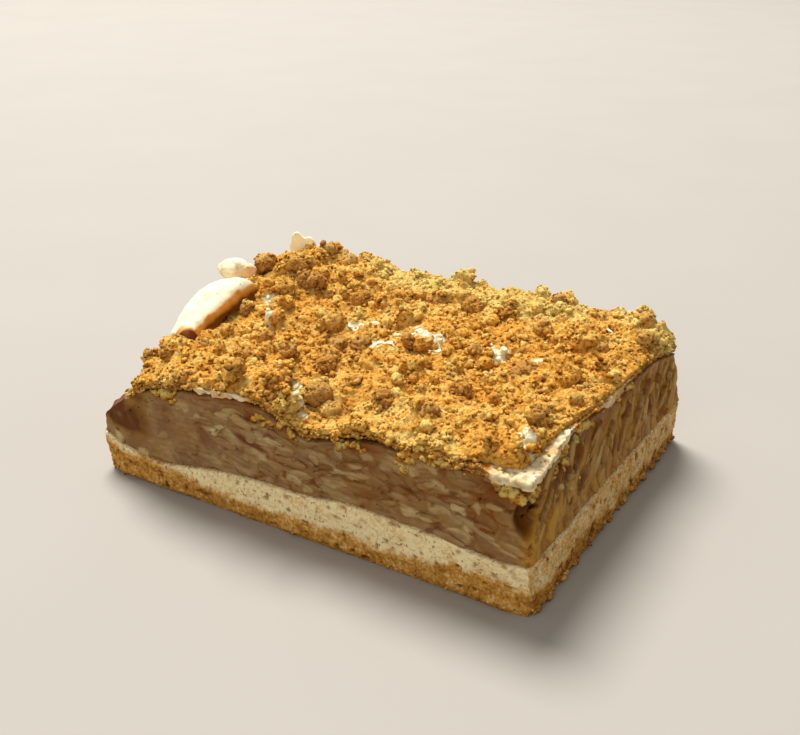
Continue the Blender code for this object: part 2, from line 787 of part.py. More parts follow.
def stand_on_centre():
    """Shades every piece and moves them together, so that their box is centred on the origin."""
    pieces = list(bpy.context.scene.collection.objects)
    points = [vert.co for obj in pieces for vert in obj.data.vertices]
    middle = [(min(axis) + max(axis)) / 2 for axis in zip(*points)]
    for obj in pieces:
        obj.location = (-middle[0], -middle[1], 0.0)
        obj.data.shade_smooth()
        obj.data.set_sharp_from_angle(angle=math.radians(SHARP_ABOVE))


def main():
    remove_everything()
    pastry = make_material("baked_shortcrust", (0.60, 0.37, 0.15), 0.85)
    apple = make_material("baked_apple", (0.47, 0.30, 0.15), 0.38, 0.15)
    meringue = make_material("baked_meringue", (0.86, 0.76, 0.60), 0.65)
    crumble = make_material("golden_crumble", (0.62, 0.30, 0.06), 0.80)

    base_net = net_at(base_top)
    make_base(base_net, pastry)

    apple_net = net_at(apple_top)
    make_filling(raised(base_net, LAYER_GAP), apple_net, apple)

    meringue_low = edge_moved(raised(apple_net, LAYER_GAP), rim_share_of_meringue)
    meringue_high = raised(meringue_low, meringue_thickness)
    new_object("meringue_layer", closed_layer(meringue_low, meringue_high), meringue)

    crumble_low = edge_moved(raised(meringue_high, LAYER_GAP), rim_share_of_crumble)
    crumble_high = crumble_surface(crumble_low)
    shell_points = SHELL_RIM + SHELL_CREST + SHELL_FOOT
    kept_clear = [(x, y, SHELL_KEPT_CLEAR) for x, y, _ in shell_points]
    topping = make_crumble(meringue_high, crumble_low, crumble_high, kept_clear, crumble)

    for name, shape_of in (
        ("meringue_shell", shell_shape),
        ("meringue_nugget", nugget_shape),
        ("meringue_flake", flake_shape),
    ):
        cut_pocket(topping, shape_of(POCKET_CLEARANCE), crumble)
        new_object(name, shape_of(0.0), meringue)
    keep_largest_body(topping)
    stand_on_centre()


main()
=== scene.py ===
# %% [markdown]
# # A cut slab of szarlotka
# This lesson dresses the solids of a Polish apple cake so that it looks freshly cut. From the bottom
# up there is a shortcrust base, a thick layer of sliced apples, a thin baked meringue and a crumble.
# The solids come in already at their real size, in metres, and every piece made here sits where its
# solid sits, so nothing has to be fitted by eye.

# %% Load the solids and keep their box
import itertools
import math

import bmesh
import bpy
import numpy as np
from mathutils import Euler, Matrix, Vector
from mathutils.bvhtree import BVHTree


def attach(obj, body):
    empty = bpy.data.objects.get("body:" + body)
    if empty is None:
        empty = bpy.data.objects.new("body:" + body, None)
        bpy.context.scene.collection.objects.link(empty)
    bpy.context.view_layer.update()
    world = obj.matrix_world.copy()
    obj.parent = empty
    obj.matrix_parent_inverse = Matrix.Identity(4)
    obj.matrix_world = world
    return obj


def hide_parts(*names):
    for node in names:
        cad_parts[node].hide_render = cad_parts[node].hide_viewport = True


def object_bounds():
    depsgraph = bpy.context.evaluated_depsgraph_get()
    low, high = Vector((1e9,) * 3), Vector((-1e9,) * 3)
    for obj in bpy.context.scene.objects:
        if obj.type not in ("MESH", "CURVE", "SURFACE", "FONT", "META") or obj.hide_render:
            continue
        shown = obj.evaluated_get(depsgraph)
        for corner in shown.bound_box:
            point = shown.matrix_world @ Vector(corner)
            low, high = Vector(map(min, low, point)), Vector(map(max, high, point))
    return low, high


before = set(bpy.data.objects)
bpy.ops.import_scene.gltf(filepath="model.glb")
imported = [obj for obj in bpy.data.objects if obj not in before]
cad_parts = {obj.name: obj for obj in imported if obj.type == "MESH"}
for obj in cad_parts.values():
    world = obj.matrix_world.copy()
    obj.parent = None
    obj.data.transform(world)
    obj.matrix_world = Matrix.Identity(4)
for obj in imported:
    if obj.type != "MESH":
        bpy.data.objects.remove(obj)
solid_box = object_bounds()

MM = 0.001
print("solids:", ", ".join(sorted(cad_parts)))
print("their box in mm:", [round(v / MM, 1) for corner in solid_box for v in corner])

# %% [markdown]
# ## The camera first
# The photo looks down on the slab from the right of its long cut face. The place, the turn and the
# focal length below were solved from the slab's corners, and setting them first means that every
# later choice can be judged from the right spot.

# %% Camera
CAMERA_PLACE = (0.20747, -0.33936, 0.2235)
CAMERA_PITCH = 24.57
CAMERA_TURN = 31.25
FOCAL_PIXELS = 1022.7
PICTURE_WIDTH = 800

camera_data = bpy.data.cameras.new("camera")
camera_data.sensor_width = 36.0
camera_data.lens = 36.0 * FOCAL_PIXELS / PICTURE_WIDTH
camera_data.clip_start = 0.01
camera = bpy.data.objects.new("camera", camera_data)
camera.location = CAMERA_PLACE
camera.rotation_euler = Euler((math.radians(90 - CAMERA_PITCH), 0, math.radians(CAMERA_TURN)))
bpy.context.scene.collection.objects.link(camera)
bpy.context.scene.camera = camera
print("lens in mm:", round(camera_data.lens, 2))

# %% [markdown]
# ## Uneven patterns as numbers
# Food is uneven at every size, so two patterns do most of the shaping. Rolling noise gives soft
# swells. Cobbles pack rounded lumps side by side, which is how crumble, pores and packed slices all
# look. Both are worked out for many points at once, and a whole-number seed makes each repeatable.


# %% Rolling noise and cobbles
def scramble(cell, seed):
    """One repeatable number from 0 to 1 for each whole-numbered cell."""
    n = cell[:, 0] * 73856093 ^ cell[:, 1] * 19349663 ^ cell[:, 2] * 83492791 ^ seed * 40503
    for _ in range(2):
        n = (n ^ (n >> 15)) * 0x2C1B3C6D & 0xFFFFFFFF
    return ((n ^ (n >> 13)) & 0xFFFFF) / 0xFFFFF


def rolling(points, size, seed):
    """Smooth noise from -1 to 1, with waves about as long as size, which may differ by axis."""
    places = points / size
    cell = np.floor(places).astype(np.int64)
    part = places - cell
    part = part * part * (3 - 2 * part)
    total = np.zeros(len(points))
    for corner in itertools.product((0, 1), repeat=3):
        weight = np.where(corner, part, 1 - part).prod(axis=1)
        total += weight * scramble(cell + np.array(corner), seed)
    return total * 2 - 1


def cobbles(points, size, seed):
    """For packed lumps: how far the nearest middle is, how near the next is, and the lump's number."""
    places = points / size
    cell = np.floor(places).astype(np.int64)
    nearest = np.full(len(points), 9.0)
    second = np.full(len(points), 9.0)
    number = np.zeros(len(points))
    for step in itertools.product((-1, 0, 1), repeat=3):
        home = cell + np.array(step)
        middle = home + np.stack([scramble(home, seed + k) for k in (1, 2, 3)], axis=1)
        far = np.linalg.norm(places - middle, axis=1)
        closer = far < nearest
        second = np.where(closer, nearest, np.minimum(second, far))
        number = np.where(closer, scramble(home, seed + 4), number)
        nearest = np.minimum(nearest, far)
    return nearest, second - nearest, number


def ease(values, low, high):
    """0 below low and 1 above high, smooth between. With low above high it falls instead."""
    part = np.clip((values - low) / (high - low), 0, 1)
    return part * part * (3 - 2 * part)


def domes(points, size, seed):
    """The height, from 0 to 1, of rounded lumps packed side by side, and each lump's number."""
    nearest, _, number = cobbles(points, size, seed)
    return np.sqrt(np.clip(1 - (nearest / 0.85) ** 2, 0, 1)), number


# %% [markdown]
# ## Fine copies of the solids
# The solids have broad faces. A fine copy keeps their exact form, but cuts each long edge in half
# again and again where the surface shows, so that there are enough points to carve. What stays
# hidden between the layers keeps its broad faces and costs nothing.


# %% Make a fine copy
def fine_copy(node, allowed):
    """A copy of a solid's mesh with no edge longer than allowed(middle, up, flat) at its middle."""
    shape = bmesh.new()
    shape.from_mesh(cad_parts[node].data)
    bmesh.ops.remove_doubles(shape, verts=shape.verts, dist=1e-6)
    bmesh.ops.triangulate(shape, faces=shape.faces)
    for _ in range(7):
        shape.normal_update()
        edges = []
        for edge in shape.edges:
            a, b = edge.verts
            length = (a.co - b.co).length
            if length > 0.8 * MM:
                up = max(face.normal.z for face in edge.link_faces)
                flat = min(abs(face.normal.z) for face in edge.link_faces)
                if length > allowed((a.co + b.co) / 2, up, flat):
                    edges.append(edge)
        if not edges:
            break
        bmesh.ops.subdivide_edges(shape, edges=edges, cuts=1, use_grid_fill=True)
        uncut = [face for face in shape.faces if len(face.verts) > 3]
        bmesh.ops.triangulate(shape, faces=uncut)
    return shape


def soften(shape, times, where):
    """Evens out the faces left by the solid, a little at a time."""
    verts = [vert for vert in shape.verts if where(vert)]
    for _ in range(times):
        bmesh.ops.smooth_vert(
            shape, verts=verts, factor=0.5, use_axis_x=True, use_axis_y=True, use_axis_z=True
        )


def arrays_of(shape):
    """The points, outward directions and triangles of a shape, which is then let go."""
    shape.normal_update()
    shape.verts.index_update()
    points = np.array([vert.co[:] for vert in shape.verts])
    outward = np.array([vert.normal[:] for vert in shape.verts])
    triangles = np.array([[vert.index for vert in face.verts] for face in shape.faces])
    shape.free()
    return points, outward, triangles


# %% Turn arrays into a piece of the cake
def make_piece(name, points, triangles, material, values=None, stands_for=()):
    """One mesh that rides on the slab. Values are numbers kept at its points for the material."""
    mesh = bpy.data.meshes.new(name)
    mesh.vertices.add(len(points))
    mesh.vertices.foreach_set("co", np.asarray(points, np.float32).ravel())
    mesh.loops.add(len(triangles) * 3)
    mesh.loops.foreach_set("vertex_index", np.asarray(triangles, np.int32).ravel())
    mesh.polygons.add(len(triangles))
    mesh.polygons.foreach_set("loop_start", np.arange(0, len(triangles) * 3, 3, dtype=np.int32))
    mesh.update(calc_edges=True)
    mesh.shade_smooth()
    for key, numbers in (values or {}).items():
        kept = mesh.attributes.new(key, "FLOAT", "POINT")
        kept.data.foreach_set("value", np.asarray(numbers, np.float32))
    mesh.materials.append(material)
    piece = bpy.data.objects.new(name, mesh)
    bpy.context.scene.collection.objects.link(piece)
    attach(piece, "root")
    if stands_for:
        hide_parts(*stands_for)
    print(name, "has", len(triangles), "triangles")
    return piece


# %% [markdown]
# ## Colours and shared effects
# Colours are written as they look on a screen and turned into the linear values that shaders use.
# Three effects come back on several pieces, so each is a node group: a fine grain that roughens the
# surface, browning in the oven, and pores. A group only gives colours, masks and heights. The
# shader itself stays in each material.


# %% Screen colours
def screen(red, green, blue):
    """A linear colour from screen values out of 255."""
    return [((v / 255 + 0.055) / 1.055) ** 2.4 if v > 10 else v / 255 / 12.92 for v in (red, green, blue)] + [1]


def add_node(tree, kind, inputs=None, **settings):
    """A node with its settings, its plain inputs filled in and its other inputs linked."""
    node = tree.nodes.new("ShaderNode" + kind)
    for key, value in settings.items():
        setattr(node, key, value)
    for key, value in (inputs or {}).items():
        if isinstance(value, bpy.types.NodeSocket):
            tree.links.new(value, node.inputs[key])
        else:
            node.inputs[key].default_value = value
    return node


def blend_colours(tree, share, first, second, kind="MIX"):
    """The colour that goes from first to second as share goes from 0 to 1."""
    node = add_node(tree, "Mix", data_type="RGBA", blend_type=kind)
    for place, value in ((0, share), (6, first), (7, second)):
        if isinstance(value, bpy.types.NodeSocket):
            tree.links.new(value, node.inputs[place])
        else:
            node.inputs[place].default_value = value
    return node.outputs[2]


def sum_of(tree, kind, first, second, third=None):
    """One step of arithmetic on the surface."""
    node = add_node(tree, "Math", operation=kind)
    for place, value in enumerate((first, second, third)):
        if isinstance(value, bpy.types.NodeSocket):
            tree.links.new(value, node.inputs[place])
        elif value is not None:
            node.inputs[place].default_value = value
    return node.outputs[0]


def stretch_range(tree, value, low, high, to_low=0.0, to_high=1.0):
    """Maps one range of numbers onto another and holds it there."""
    node = add_node(
        tree, "MapRange", {0: value, 1: low, 2: high, 3: to_low, 4: to_high}, clamp=True
    )
    return node.outputs[0]


def new_group(name, inputs, outputs):
    """An empty node group with named sockets, and its two ends."""
    group = bpy.data.node_groups.new(name, "ShaderNodeTree")
    for key, (kind, value) in inputs.items():
        socket = group.interface.new_socket(key, in_out="INPUT", socket_type="NodeSocket" + kind)
        socket.default_value = value
    for key, kind in outputs.items():
        group.interface.new_socket(key, in_out="OUTPUT", socket_type="NodeSocket" + kind)
    start = group.nodes.new("NodeGroupInput")
    end = group.nodes.new("NodeGroupOutput")
    return group, start, end


# %% Grain, a roughness of three sizes
grain_group, start, end = new_group(
    "fine_grain",
    {"Size": ("Float", 900.0), "Roughening": ("Float", 0.7)},
    {"Height": "Float", "Shade": "Float"},
)
places = add_node(grain_group, "TexCoord").outputs["Object"]
fine = add_node(
    grain_group, "TexNoise",
    {"Vector": places, "Scale": start.outputs["Size"], "Detail": 3.0, "Roughness": start.outputs["Roughening"]},
).outputs["Fac"]
coarse_size = sum_of(grain_group, "MULTIPLY", start.outputs["Size"], 0.42)
knobs = add_node(grain_group, "TexVoronoi", {"Vector": places, "Scale": coarse_size}).outputs["Distance"]
height = sum_of(grain_group, "SUBTRACT", fine, sum_of(grain_group, "MULTIPLY", knobs, 0.55))
grain_group.links.new(height, end.inputs["Height"])
grain_group.links.new(stretch_range(grain_group, height, -0.15, 0.45), end.inputs["Shade"])

# %% Browning, from pale dough to toasted edges
browning_group, start, end = new_group(
    "oven_browning",
    {
        "Browning": ("Float", 0.5),
        "Pale": ("Color", screen(240, 212, 140)),
        "Golden": ("Color", screen(215, 158, 78)),
        "Toasted": ("Color", screen(120, 74, 32)),
    },
    {"Color": "Color"},
)
to_golden = stretch_range(browning_group, start.outputs["Browning"], 0.0, 0.5)
to_toasted = stretch_range(browning_group, start.outputs["Browning"], 0.5, 1.0)
light_half = blend_colours(browning_group, to_golden, start.outputs["Pale"], start.outputs["Golden"])
browned = blend_colours(browning_group, to_toasted, light_half, start.outputs["Toasted"])
browning_group.links.new(browned, end.inputs["Color"])

# %% Pores, small dark holes scattered over a baked surface
pores_group, start, end = new_group(
    "pores", {"Size": ("Float", 500.0), "Share": ("Float", 0.2)}, {"Mask": "Float"}
)
places = add_node(pores_group, "TexCoord").outputs["Object"]
holes = add_node(
    pores_group, "TexNoise",
    {"Vector": places, "Scale": start.outputs["Size"], "Detail": 2.0, "Roughness": 0.6},
).outputs["Fac"]
low = sum_of(pores_group, "SUBTRACT", 0.70, start.outputs["Share"])
high = sum_of(pores_group, "ADD", low, 0.07)
pores_group.links.new(stretch_range(pores_group, holes, low, high), end.inputs["Mask"])
print("groups:", ", ".join(group.name for group in bpy.data.node_groups))


# %% Helpers that start a food material
def food_material(name, roughness, subsurface, reach):
    """A Principled surface that light soaks into a little. Reach is in metres."""
    material = bpy.data.materials.new(name)
    material.use_nodes = True
    tree = material.node_tree
    shader = tree.nodes["Principled BSDF"]
    shader.inputs["Roughness"].default_value = roughness
    shader.inputs["Subsurface Weight"].default_value = subsurface
    shader.inputs["Subsurface Radius"].default_value = (1.0, 0.55, 0.25)
    shader.inputs["Subsurface Scale"].default_value = reach
    shader.inputs["Specular IOR Level"].default_value = 0.10
    return material, tree, shader


def value_at_points(tree, name):
    """Reads a number that was kept at the mesh's points."""
    return add_node(tree, "Attribute", attribute_name=name).outputs["Fac"]


def use_group(tree, group, **inputs):
    """Places a shared effect in a material with its own values."""
    node = add_node(tree, "Group", node_tree=group)
    for key, value in inputs.items():
        if isinstance(value, bpy.types.NodeSocket):
            tree.links.new(value, node.inputs[key])
        else:
            node.inputs[key].default_value = value
    return node


def noise_on(tree, scale, detail=2.0):
    """Plain noise over the piece's own coordinates."""
    places = add_node(tree, "TexCoord").outputs["Object"]
    return add_node(tree, "TexNoise", {"Vector": places, "Scale": scale, "Detail": detail}).outputs["Fac"]


def bump(tree, shader, height, strength, distance):
    """Lets a height pattern tilt the light on the surface."""
    node = add_node(tree, "Bump", {"Height": height, "Strength": strength, "Distance": distance})
    tree.links.new(node.outputs["Normal"], shader.inputs["Normal"])


# %% [markdown]
# ## Crumble material
# Butter crumble is pale inside and golden to brown where the oven reached it. Each crumb carries
# its own browning number, so neighbours differ. The cracks between crumbs and their undersides
# carry a depth number, which is painted shade that browns and darkens them. The grain adds
# sugar-sized roughness on top, and its low spots are painted darker and its high spots paler, as
# painted shade and light.

# %% Crumble material
crumble_material, tree, shader = food_material("crumble", 0.8, 0.12, 0.0012)
grain = use_group(tree, grain_group, Size=1900.0, Roughening=0.8)
patchy = stretch_range(tree, noise_on(tree, 420.0, 3.0), 0.3, 0.7, -0.16, 0.16)
toast = sum_of(tree, "ADD", value_at_points(tree, "browning"), patchy)
# Painted light and shade: the grain's high spots are browned less, its low spots more.
toast = sum_of(tree, "SUBTRACT", toast, stretch_range(tree, grain.outputs["Shade"], 0.15, 1.0, -0.18, 0.32))
# Painted shade: the depth number browns the cracks and the undersides of crumbs.
toast = sum_of(tree, "ADD", toast, sum_of(tree, "MULTIPLY", value_at_points(tree, "depth"), 0.34))
crumb_colour = use_group(
    tree, browning_group, Browning=toast, Pale=screen(255, 224, 130), Golden=screen(252, 182, 74),
    Toasted=screen(160, 86, 18),
).outputs["Color"]
greyer = sum_of(tree, "MULTIPLY", value_at_points(tree, "tan"), 0.68)
crumb_colour = blend_colours(tree, greyer, crumb_colour, screen(182, 134, 76))
# Painted shade: the grain's low spots and the depth number mix in a dark brown.
crevice_shade = stretch_range(tree, grain.outputs["Shade"], 0.44, 0.14, 0.0, 0.78)
dark = sum_of(tree, "MAXIMUM", value_at_points(tree, "depth"), crevice_shade)
crumb_colour = blend_colours(tree, dark, crumb_colour, screen(94, 36, 1))
crumb_colour = blend_colours(tree, value_at_points(tree, "white"), crumb_colour, screen(255, 247, 208))
tree.links.new(crumb_colour, shader.inputs["Base Color"])
tree.links.new(stretch_range(tree, grain.outputs["Shade"], 0.0, 1.0, 0.9, 0.68), shader.inputs["Roughness"])
shader.inputs["Specular IOR Level"].default_value = 0.05
bump(tree, shader, grain.outputs["Height"], 1.0, 0.0011)

# %% [markdown]
# ## Where things lie on the crumble
# A few places are worth naming. The oven left a paler, yellower field at the back. Big clumps lie
# where the photo shows them, each with its own browning. White patches are where the crumble is
# thin and the meringue shows through.

# %% Places on the top, in millimetres
CLUMPS = (
    (-84, 18, 5.6, 0.62), (-58, 19, 6.3, 0.80), (-68, 21, 4.9, 0.72), (-63, 6, 4.8, 0.60),
    (-28, -7, 6.0, 0.66), (-43, -49, 5.2, 0.74), (-27, -71, 3.6, 0.86), (-12, -66, 5.6, 0.78),
    (-9, -38, 4.6, 0.72), (-73, -12, 3.4, 0.55), (28, -55, 3.9, 0.66), (51, -39, 4.6, 0.92),
    (13, -65, 5.6, 0.60), (3, -62, 4.6, 0.56), (-9, -14, 4.8, 0.64), (-17, -19, 4.2, 0.58),
    (-6, -43, 3.6, 0.84), (18, -32, 2.6, 0.82), (-34, 25, 5.0, 0.76), (-20, 34, 4.8, 0.66),
    (-3, 41, 5.0, 0.68), (51, 35, 5.8, 0.62), (63, -11, 6.0, 0.66), (31, 42, 4.8, 0.80),
    (14, 42, 4.4, 0.76), (45, 66, 4.6, 0.56), (71, 32, 3.4, 0.60), (79, 30, 3.8, 0.62),
    (51, -61, 3.2, 0.60), (66, -37, 3.4, 0.76), (86, -51, 2.8, 0.70), (-65, -33, 3.6, 0.58),
    (-67, -47, 3.8, 0.60), (-72, -62, 3.4, 0.62), (-54, -72, 3.2, 0.60), (-40, -14, 3.9, 0.62),
    (-22, -46, 3.6, 0.58), (-43, -34, 3.8, 0.66), (9, -48, 3.4, 0.60), (13, -11, 3.3, 0.64),
    (37, -2, 3.7, 0.66), (90, -23, 2.8, 0.62), (-60, 55, 3.9, 0.52), (-68, 33, 4.4, 0.66),
    (-71, 53, 4.2, 0.55), (86, 60, 4.8, 0.50), (92, 46, 4.2, 0.54), (70, 58, 3.6, 0.52),
)
WHITE_PATCHES = (
    (-21, -1, 1.9, 1.6), (-18.5, 1.8, 2.4, 1.6), (-14.5, 3, 2.6, 1.6), (-10.5, 3, 1.8, 1.3), (-2, -9, 3.2, 2.2),
    (0.5, -8.3, 2.0, 2.8), (-1.5, -14, 1.6, 1.4), (-8, 4.4, 1.8, 0.9), (-2.7, 4.9, 3.0, 1.0),
    (2.6, 4.2, 2.8, 1.1), (6, 5, 2.6, 1.6), (11, 3, 2.2, 2.6), (15.9, -3.9, 2.2, 2.4), (15.7, 2.2, 3.0, 1.9),
    (18, 4.8, 1.6, 2.2), (21.6, -1.6, 1.8, 3.0), (12, -8.6, 1.6, 1.4), (39.5, 6.8, 1.6, 1.6),
    (43.4, 3.3, 2.6, 2.0), (46.4, 1.7, 2.4, 1.8), (48.5, 4.5, 1.4, 0.9), (65, -1, 1.8, 0.9),
    (86, -60, 2.2, 1.8), (90, -64, 2.0, 1.6), (-67, 0, 2.2, 1.8), (-53, -20, 1.8, 1.2),
    (-6, -63, 2.4, 1.2), (3, -71, 1.6, 1.0), (52, -58, 1.8, 1.2), (77, 45, 1.2, 0.8),
)
FLAKE_FRONT = (-86, 40, 13, 8)
YELLOW_FIELD = ((4, 66, 62, 24), (46, 62, 22, 18), (88, 66, 22, 16))


def in_field(points, field):
    """How deep points lie in a rounded field of middle x, y and reach x, y, in millimetres."""
    x, y, reach_x, reach_y = (v * MM for v in field)
    far = ((points[:, 0] - x) / reach_x) ** 2 + ((points[:, 1] - y) / reach_y) ** 2
    return ease(far, 1.3, 0.35)


def yellow_at(points):
    return np.max([in_field(points, field) for field in YELLOW_FIELD], axis=0)


def white_at(points):
    """How much of the meringue shows through the crumble at each point."""
    return np.max([in_field(points, (x, y, a * 1.5, b * 1.5)) for x, y, a, b in WHITE_PATCHES], axis=0)


def field_browning(points):
    """The browning of the crumble before each crumb's own share is added, with painted light along the front edge."""
    base = 0.50 + 0.13 * rolling(points, 0.028, 11) + 0.15 * rolling(points, 0.008, 12)
    # Painted light: the front edge, which lies in half shade, is browned less so that it looks brighter.
    return base - 0.39 * yellow_at(points) - 0.04 * ease(points[:, 1], -0.052, -0.070)


# %% [markdown]
# ## The body of the crumble
# The crumble's solid already has the heap at the back left and the larger lumps. Its fine copy is
# carved with cobbles of three sizes, the way crumbs lean on one another. The cracks between them
# are kept as a depth number, which is painted shade, and the cobble tops are browned less as painted light.

# %% Carve the crumble
shell_tree = BVHTree.FromObject(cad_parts["meringue_shell"], bpy.context.evaluated_depsgraph_get())


def crumble_allowed(middle, up, flat):
    return 1.2 * MM if up > -0.2 else 1.0


shape = fine_copy("crumble_topping", crumble_allowed)
soften(shape, 2, lambda vert: vert.normal.z > -0.5)
top_points, top_outward, top_triangles = arrays_of(shape)
bend = np.stack([rolling(top_points, 2.6 * MM, 24 + k) for k in range(3)], axis=1) * 0.9 * MM
big, big_number = domes(top_points + bend, 4.4 * MM, 21)
middle_size, middle_number = domes(top_points + bend, 2.4 * MM, 22)
small, small_number = domes(top_points + 0.5 * bend, 1.5 * MM, 23)
bare = ease(white_at(top_points) * (1 + 0.7 * rolling(top_points, 1.9 * MM, 27)), 0.30, 0.52)
faces_up = ease(top_outward[:, 2], -0.4, 0.1)
rise = 1.0 * big * (0.3 + big_number) + 1.1 * middle_size * (0.2 + middle_number) + 0.75 * small * (0.3 + small_number) - 1.8
rise = rise * (1 - 0.8 * bare) - 0.5 * bare - 1.6 * in_field(top_points, FLAKE_FRONT)
top_points = top_points + top_outward * (rise * faces_up * MM)[:, None]
# Painted shade in the cracks, kept as the depth number below; painted light on the cobble tops, which are browned less.
cracks = 1 - np.clip(0.35 * big + 0.5 * middle_size + 0.3 * small, 0, 1)
top_browning = field_browning(top_points) + 0.10 - 0.16 * (0.5 * big + 0.5 * middle_size - 0.5) + 0.3 * (big_number - 0.5) + 0.3 * (middle_number - 0.5)
crumble_piece = make_piece(
    "crumble_body", top_points, top_triangles, crumble_material,
    {"browning": top_browning - 0.09, "depth": 0.10 + ease(cracks, 0.3, 0.75) * 0.88, "white": bare}, ("crumble_topping",),
)

# %% [markdown]
# ## Small shapes to scatter
# Loose crumbs are copies of a few knobbly shapes, turned, stretched and scaled at random. Making
# sixteen shapes and reusing them is far quicker than making thousands, and joined into one mesh they
# stay real geometry. The finer the crumb, the fewer faces it needs.


# %% Knobbly balls
def ball(level):
    """The points and triangles of a ball of radius 1."""
    shape = bmesh.new()
    bmesh.ops.create_icosphere(shape, subdivisions=level, radius=1.0)
    points, _, triangles = arrays_of(shape)
    return points, triangles


def knobbly_balls(level, count, knob, depth, seed, ragged=0.0):
    """Differently shaped crumbs: balls with rounded knobs of one size and ragged points."""
    points, triangles = ball(level)
    tear = np.random.default_rng(seed)
    made = []
    for n in range(count):
        out, _ = domes(points + n * 7.7, knob, seed + n)
        bend = rolling(points + n * 3.1, 1.1, seed + 50 + n)
        torn = ragged * tear.uniform(-1, 1, len(points))
        made.append(points * (1 + depth * (out - 0.6) + 0.22 * bend + torn)[:, None])
    return made, triangles


def random_turns(rng, count):
    """Turns in any direction, as one 3 by 3 table for each copy."""
    q = rng.normal(size=(count, 4))
    w, x, y, z = (q / np.linalg.norm(q, axis=1)[:, None]).T
    rows = (
        (1 - 2 * (y * y + z * z), 2 * (x * y - z * w), 2 * (x * z + y * w)),
        (2 * (x * y + z * w), 1 - 2 * (x * x + z * z), 2 * (y * z - x * w)),
        (2 * (x * z - y * w), 2 * (y * z + x * w), 1 - 2 * (x * x + y * y)),
    )
    return np.array(rows).transpose(2, 0, 1)


def flat_turns(rng, normals):
    """Turns that lay a copy flat on a surface, in any heading."""
    along = np.cross(normals, rng.normal(size=normals.shape))
    along /= np.linalg.norm(along, axis=1)[:, None]
    return np.stack([along, np.cross(normals, along), normals], axis=2)


def granular(points, owner, middles, coarse, fine, seed):
    """Points of scattered lumps, moved in and out so that each lump looks pressed from crumbs."""
    away = points - middles[owner]
    away /= np.linalg.norm(away, axis=1)[:, None]
    bend = np.stack([rolling(points, coarse * 0.8, seed + 3 + k) for k in range(3)], axis=1) * coarse * 0.25
    lumps, _ = domes(points + bend, coarse, seed)
    grains, _ = domes(points, fine, seed + 1)
    rise = 0.42 * coarse * (lumps - 0.55) + 0.38 * fine * (grains - 0.55)
    return points + away * rise[:, None], 1 - 0.5 * lumps - 0.5 * grains


def scatter(rng, kinds, triangles, middles, radii, stretch=(0.75, 1.25), lie_on=None, flat=1.0):
    """Copies of the kinds at the middles. It also gives each point the number of its copy."""
    turns = random_turns(rng, len(middles)) if lie_on is None else flat_turns(rng, lie_on)
    sizes = radii[:, None] * rng.uniform(*stretch, size=(len(middles), 3)) * (1, 1, flat)
    kind = rng.integers(len(kinds), size=len(middles))
    per_copy = len(kinds[0])
    made = np.empty((len(middles), per_copy, 3))
    for n, points in enumerate(kinds):
        mine = kind == n
        grown = points[None] * sizes[mine][:, None, :]
        made[mine] = np.einsum("nij,nkj->nki", turns[mine], grown) + middles[mine][:, None, :]
    faces = triangles[None] + (np.arange(len(middles)) * per_copy)[:, None, None]
    owner = np.repeat(np.arange(len(middles)), per_copy)
    return made.reshape(-1, 3), faces.reshape(-1, 3), owner


# %% Places on a surface
def places_on(rng, points, triangles, wanted, count):
    """Even random places on triangles, each with its direction out of the surface."""
    corners = points[triangles]
    normal = np.cross(corners[:, 1] - corners[:, 0], corners[:, 2] - corners[:, 0])
    area = np.linalg.norm(normal, axis=1) + 1e-15
    normal /= area[:, None]
    share = area * wanted(corners.mean(axis=1), normal)
    chosen = rng.choice(len(triangles), size=count, p=share / share.sum())
    u, v = rng.uniform(size=(2, count))
    over = u + v > 1
    u, v = np.where(over, 1 - u, u), np.where(over, 1 - v, v)
    a, b, c = corners[chosen].transpose(1, 0, 2)
    return a + (b - a) * u[:, None] + (c - a) * v[:, None], normal[chosen]


def spread_out(middles, radii, room):
    """Keeps the largest first, dropping any that would sit in another."""
    kept = []
    cells = {}
    size = radii.max() * 2 * room
    for n in np.argsort(-radii):
        home = tuple(np.floor(middles[n] / size).astype(int))
        near = [k for d in itertools.product((-1, 0, 1), repeat=3) for k in cells.get(tuple(np.add(home, d)), ())]
        if all(np.linalg.norm(middles[n] - middles[k]) > (radii[n] + radii[k]) * room for k in near):
            kept.append(n)
            cells.setdefault(home, []).append(n)
    return np.array(kept)


standing = ("meringue_shell", "meringue_nugget", "meringue_flake")
depsgraph = bpy.context.evaluated_depsgraph_get()
standing_trees = [BVHTree.FromObject(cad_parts[name], depsgraph) for name in standing]


def clear_of_standing(middles, radii):
    """True for crumbs that don't cut into the standing pieces of meringue."""
    free = []
    for middle, radius in zip(middles, radii):
        near = [tree.find_nearest(Vector(middle), float(radius))[0] for tree in standing_trees]
        free.append(not any(near))
    return np.array(free, bool)


def sheet_whiteness(points):
    """Where the rim of the meringue stayed white and bare."""
    at_corner = ease(points[:, 1], -0.035, -0.041) * ease(points[:, 0], 0.078, 0.084)
    right_edge = ease(points[:, 0], 0.090, 0.094) * ease(points[:, 1], 0.045, 0.0) * ease(points[:, 1], -0.022, -0.012)
    left_end = ease(points[:, 0], -0.083, -0.090) * ease(points[:, 1], -0.055, -0.065)
    front_strip = ease(points[:, 1], -0.070, -0.074) * ease(np.abs(points[:, 0] + 0.032), 0.020, 0.010)
    return np.clip(at_corner + 0.6 * right_edge + 0.8 * front_strip + 0.7 * left_end, 0, 1)


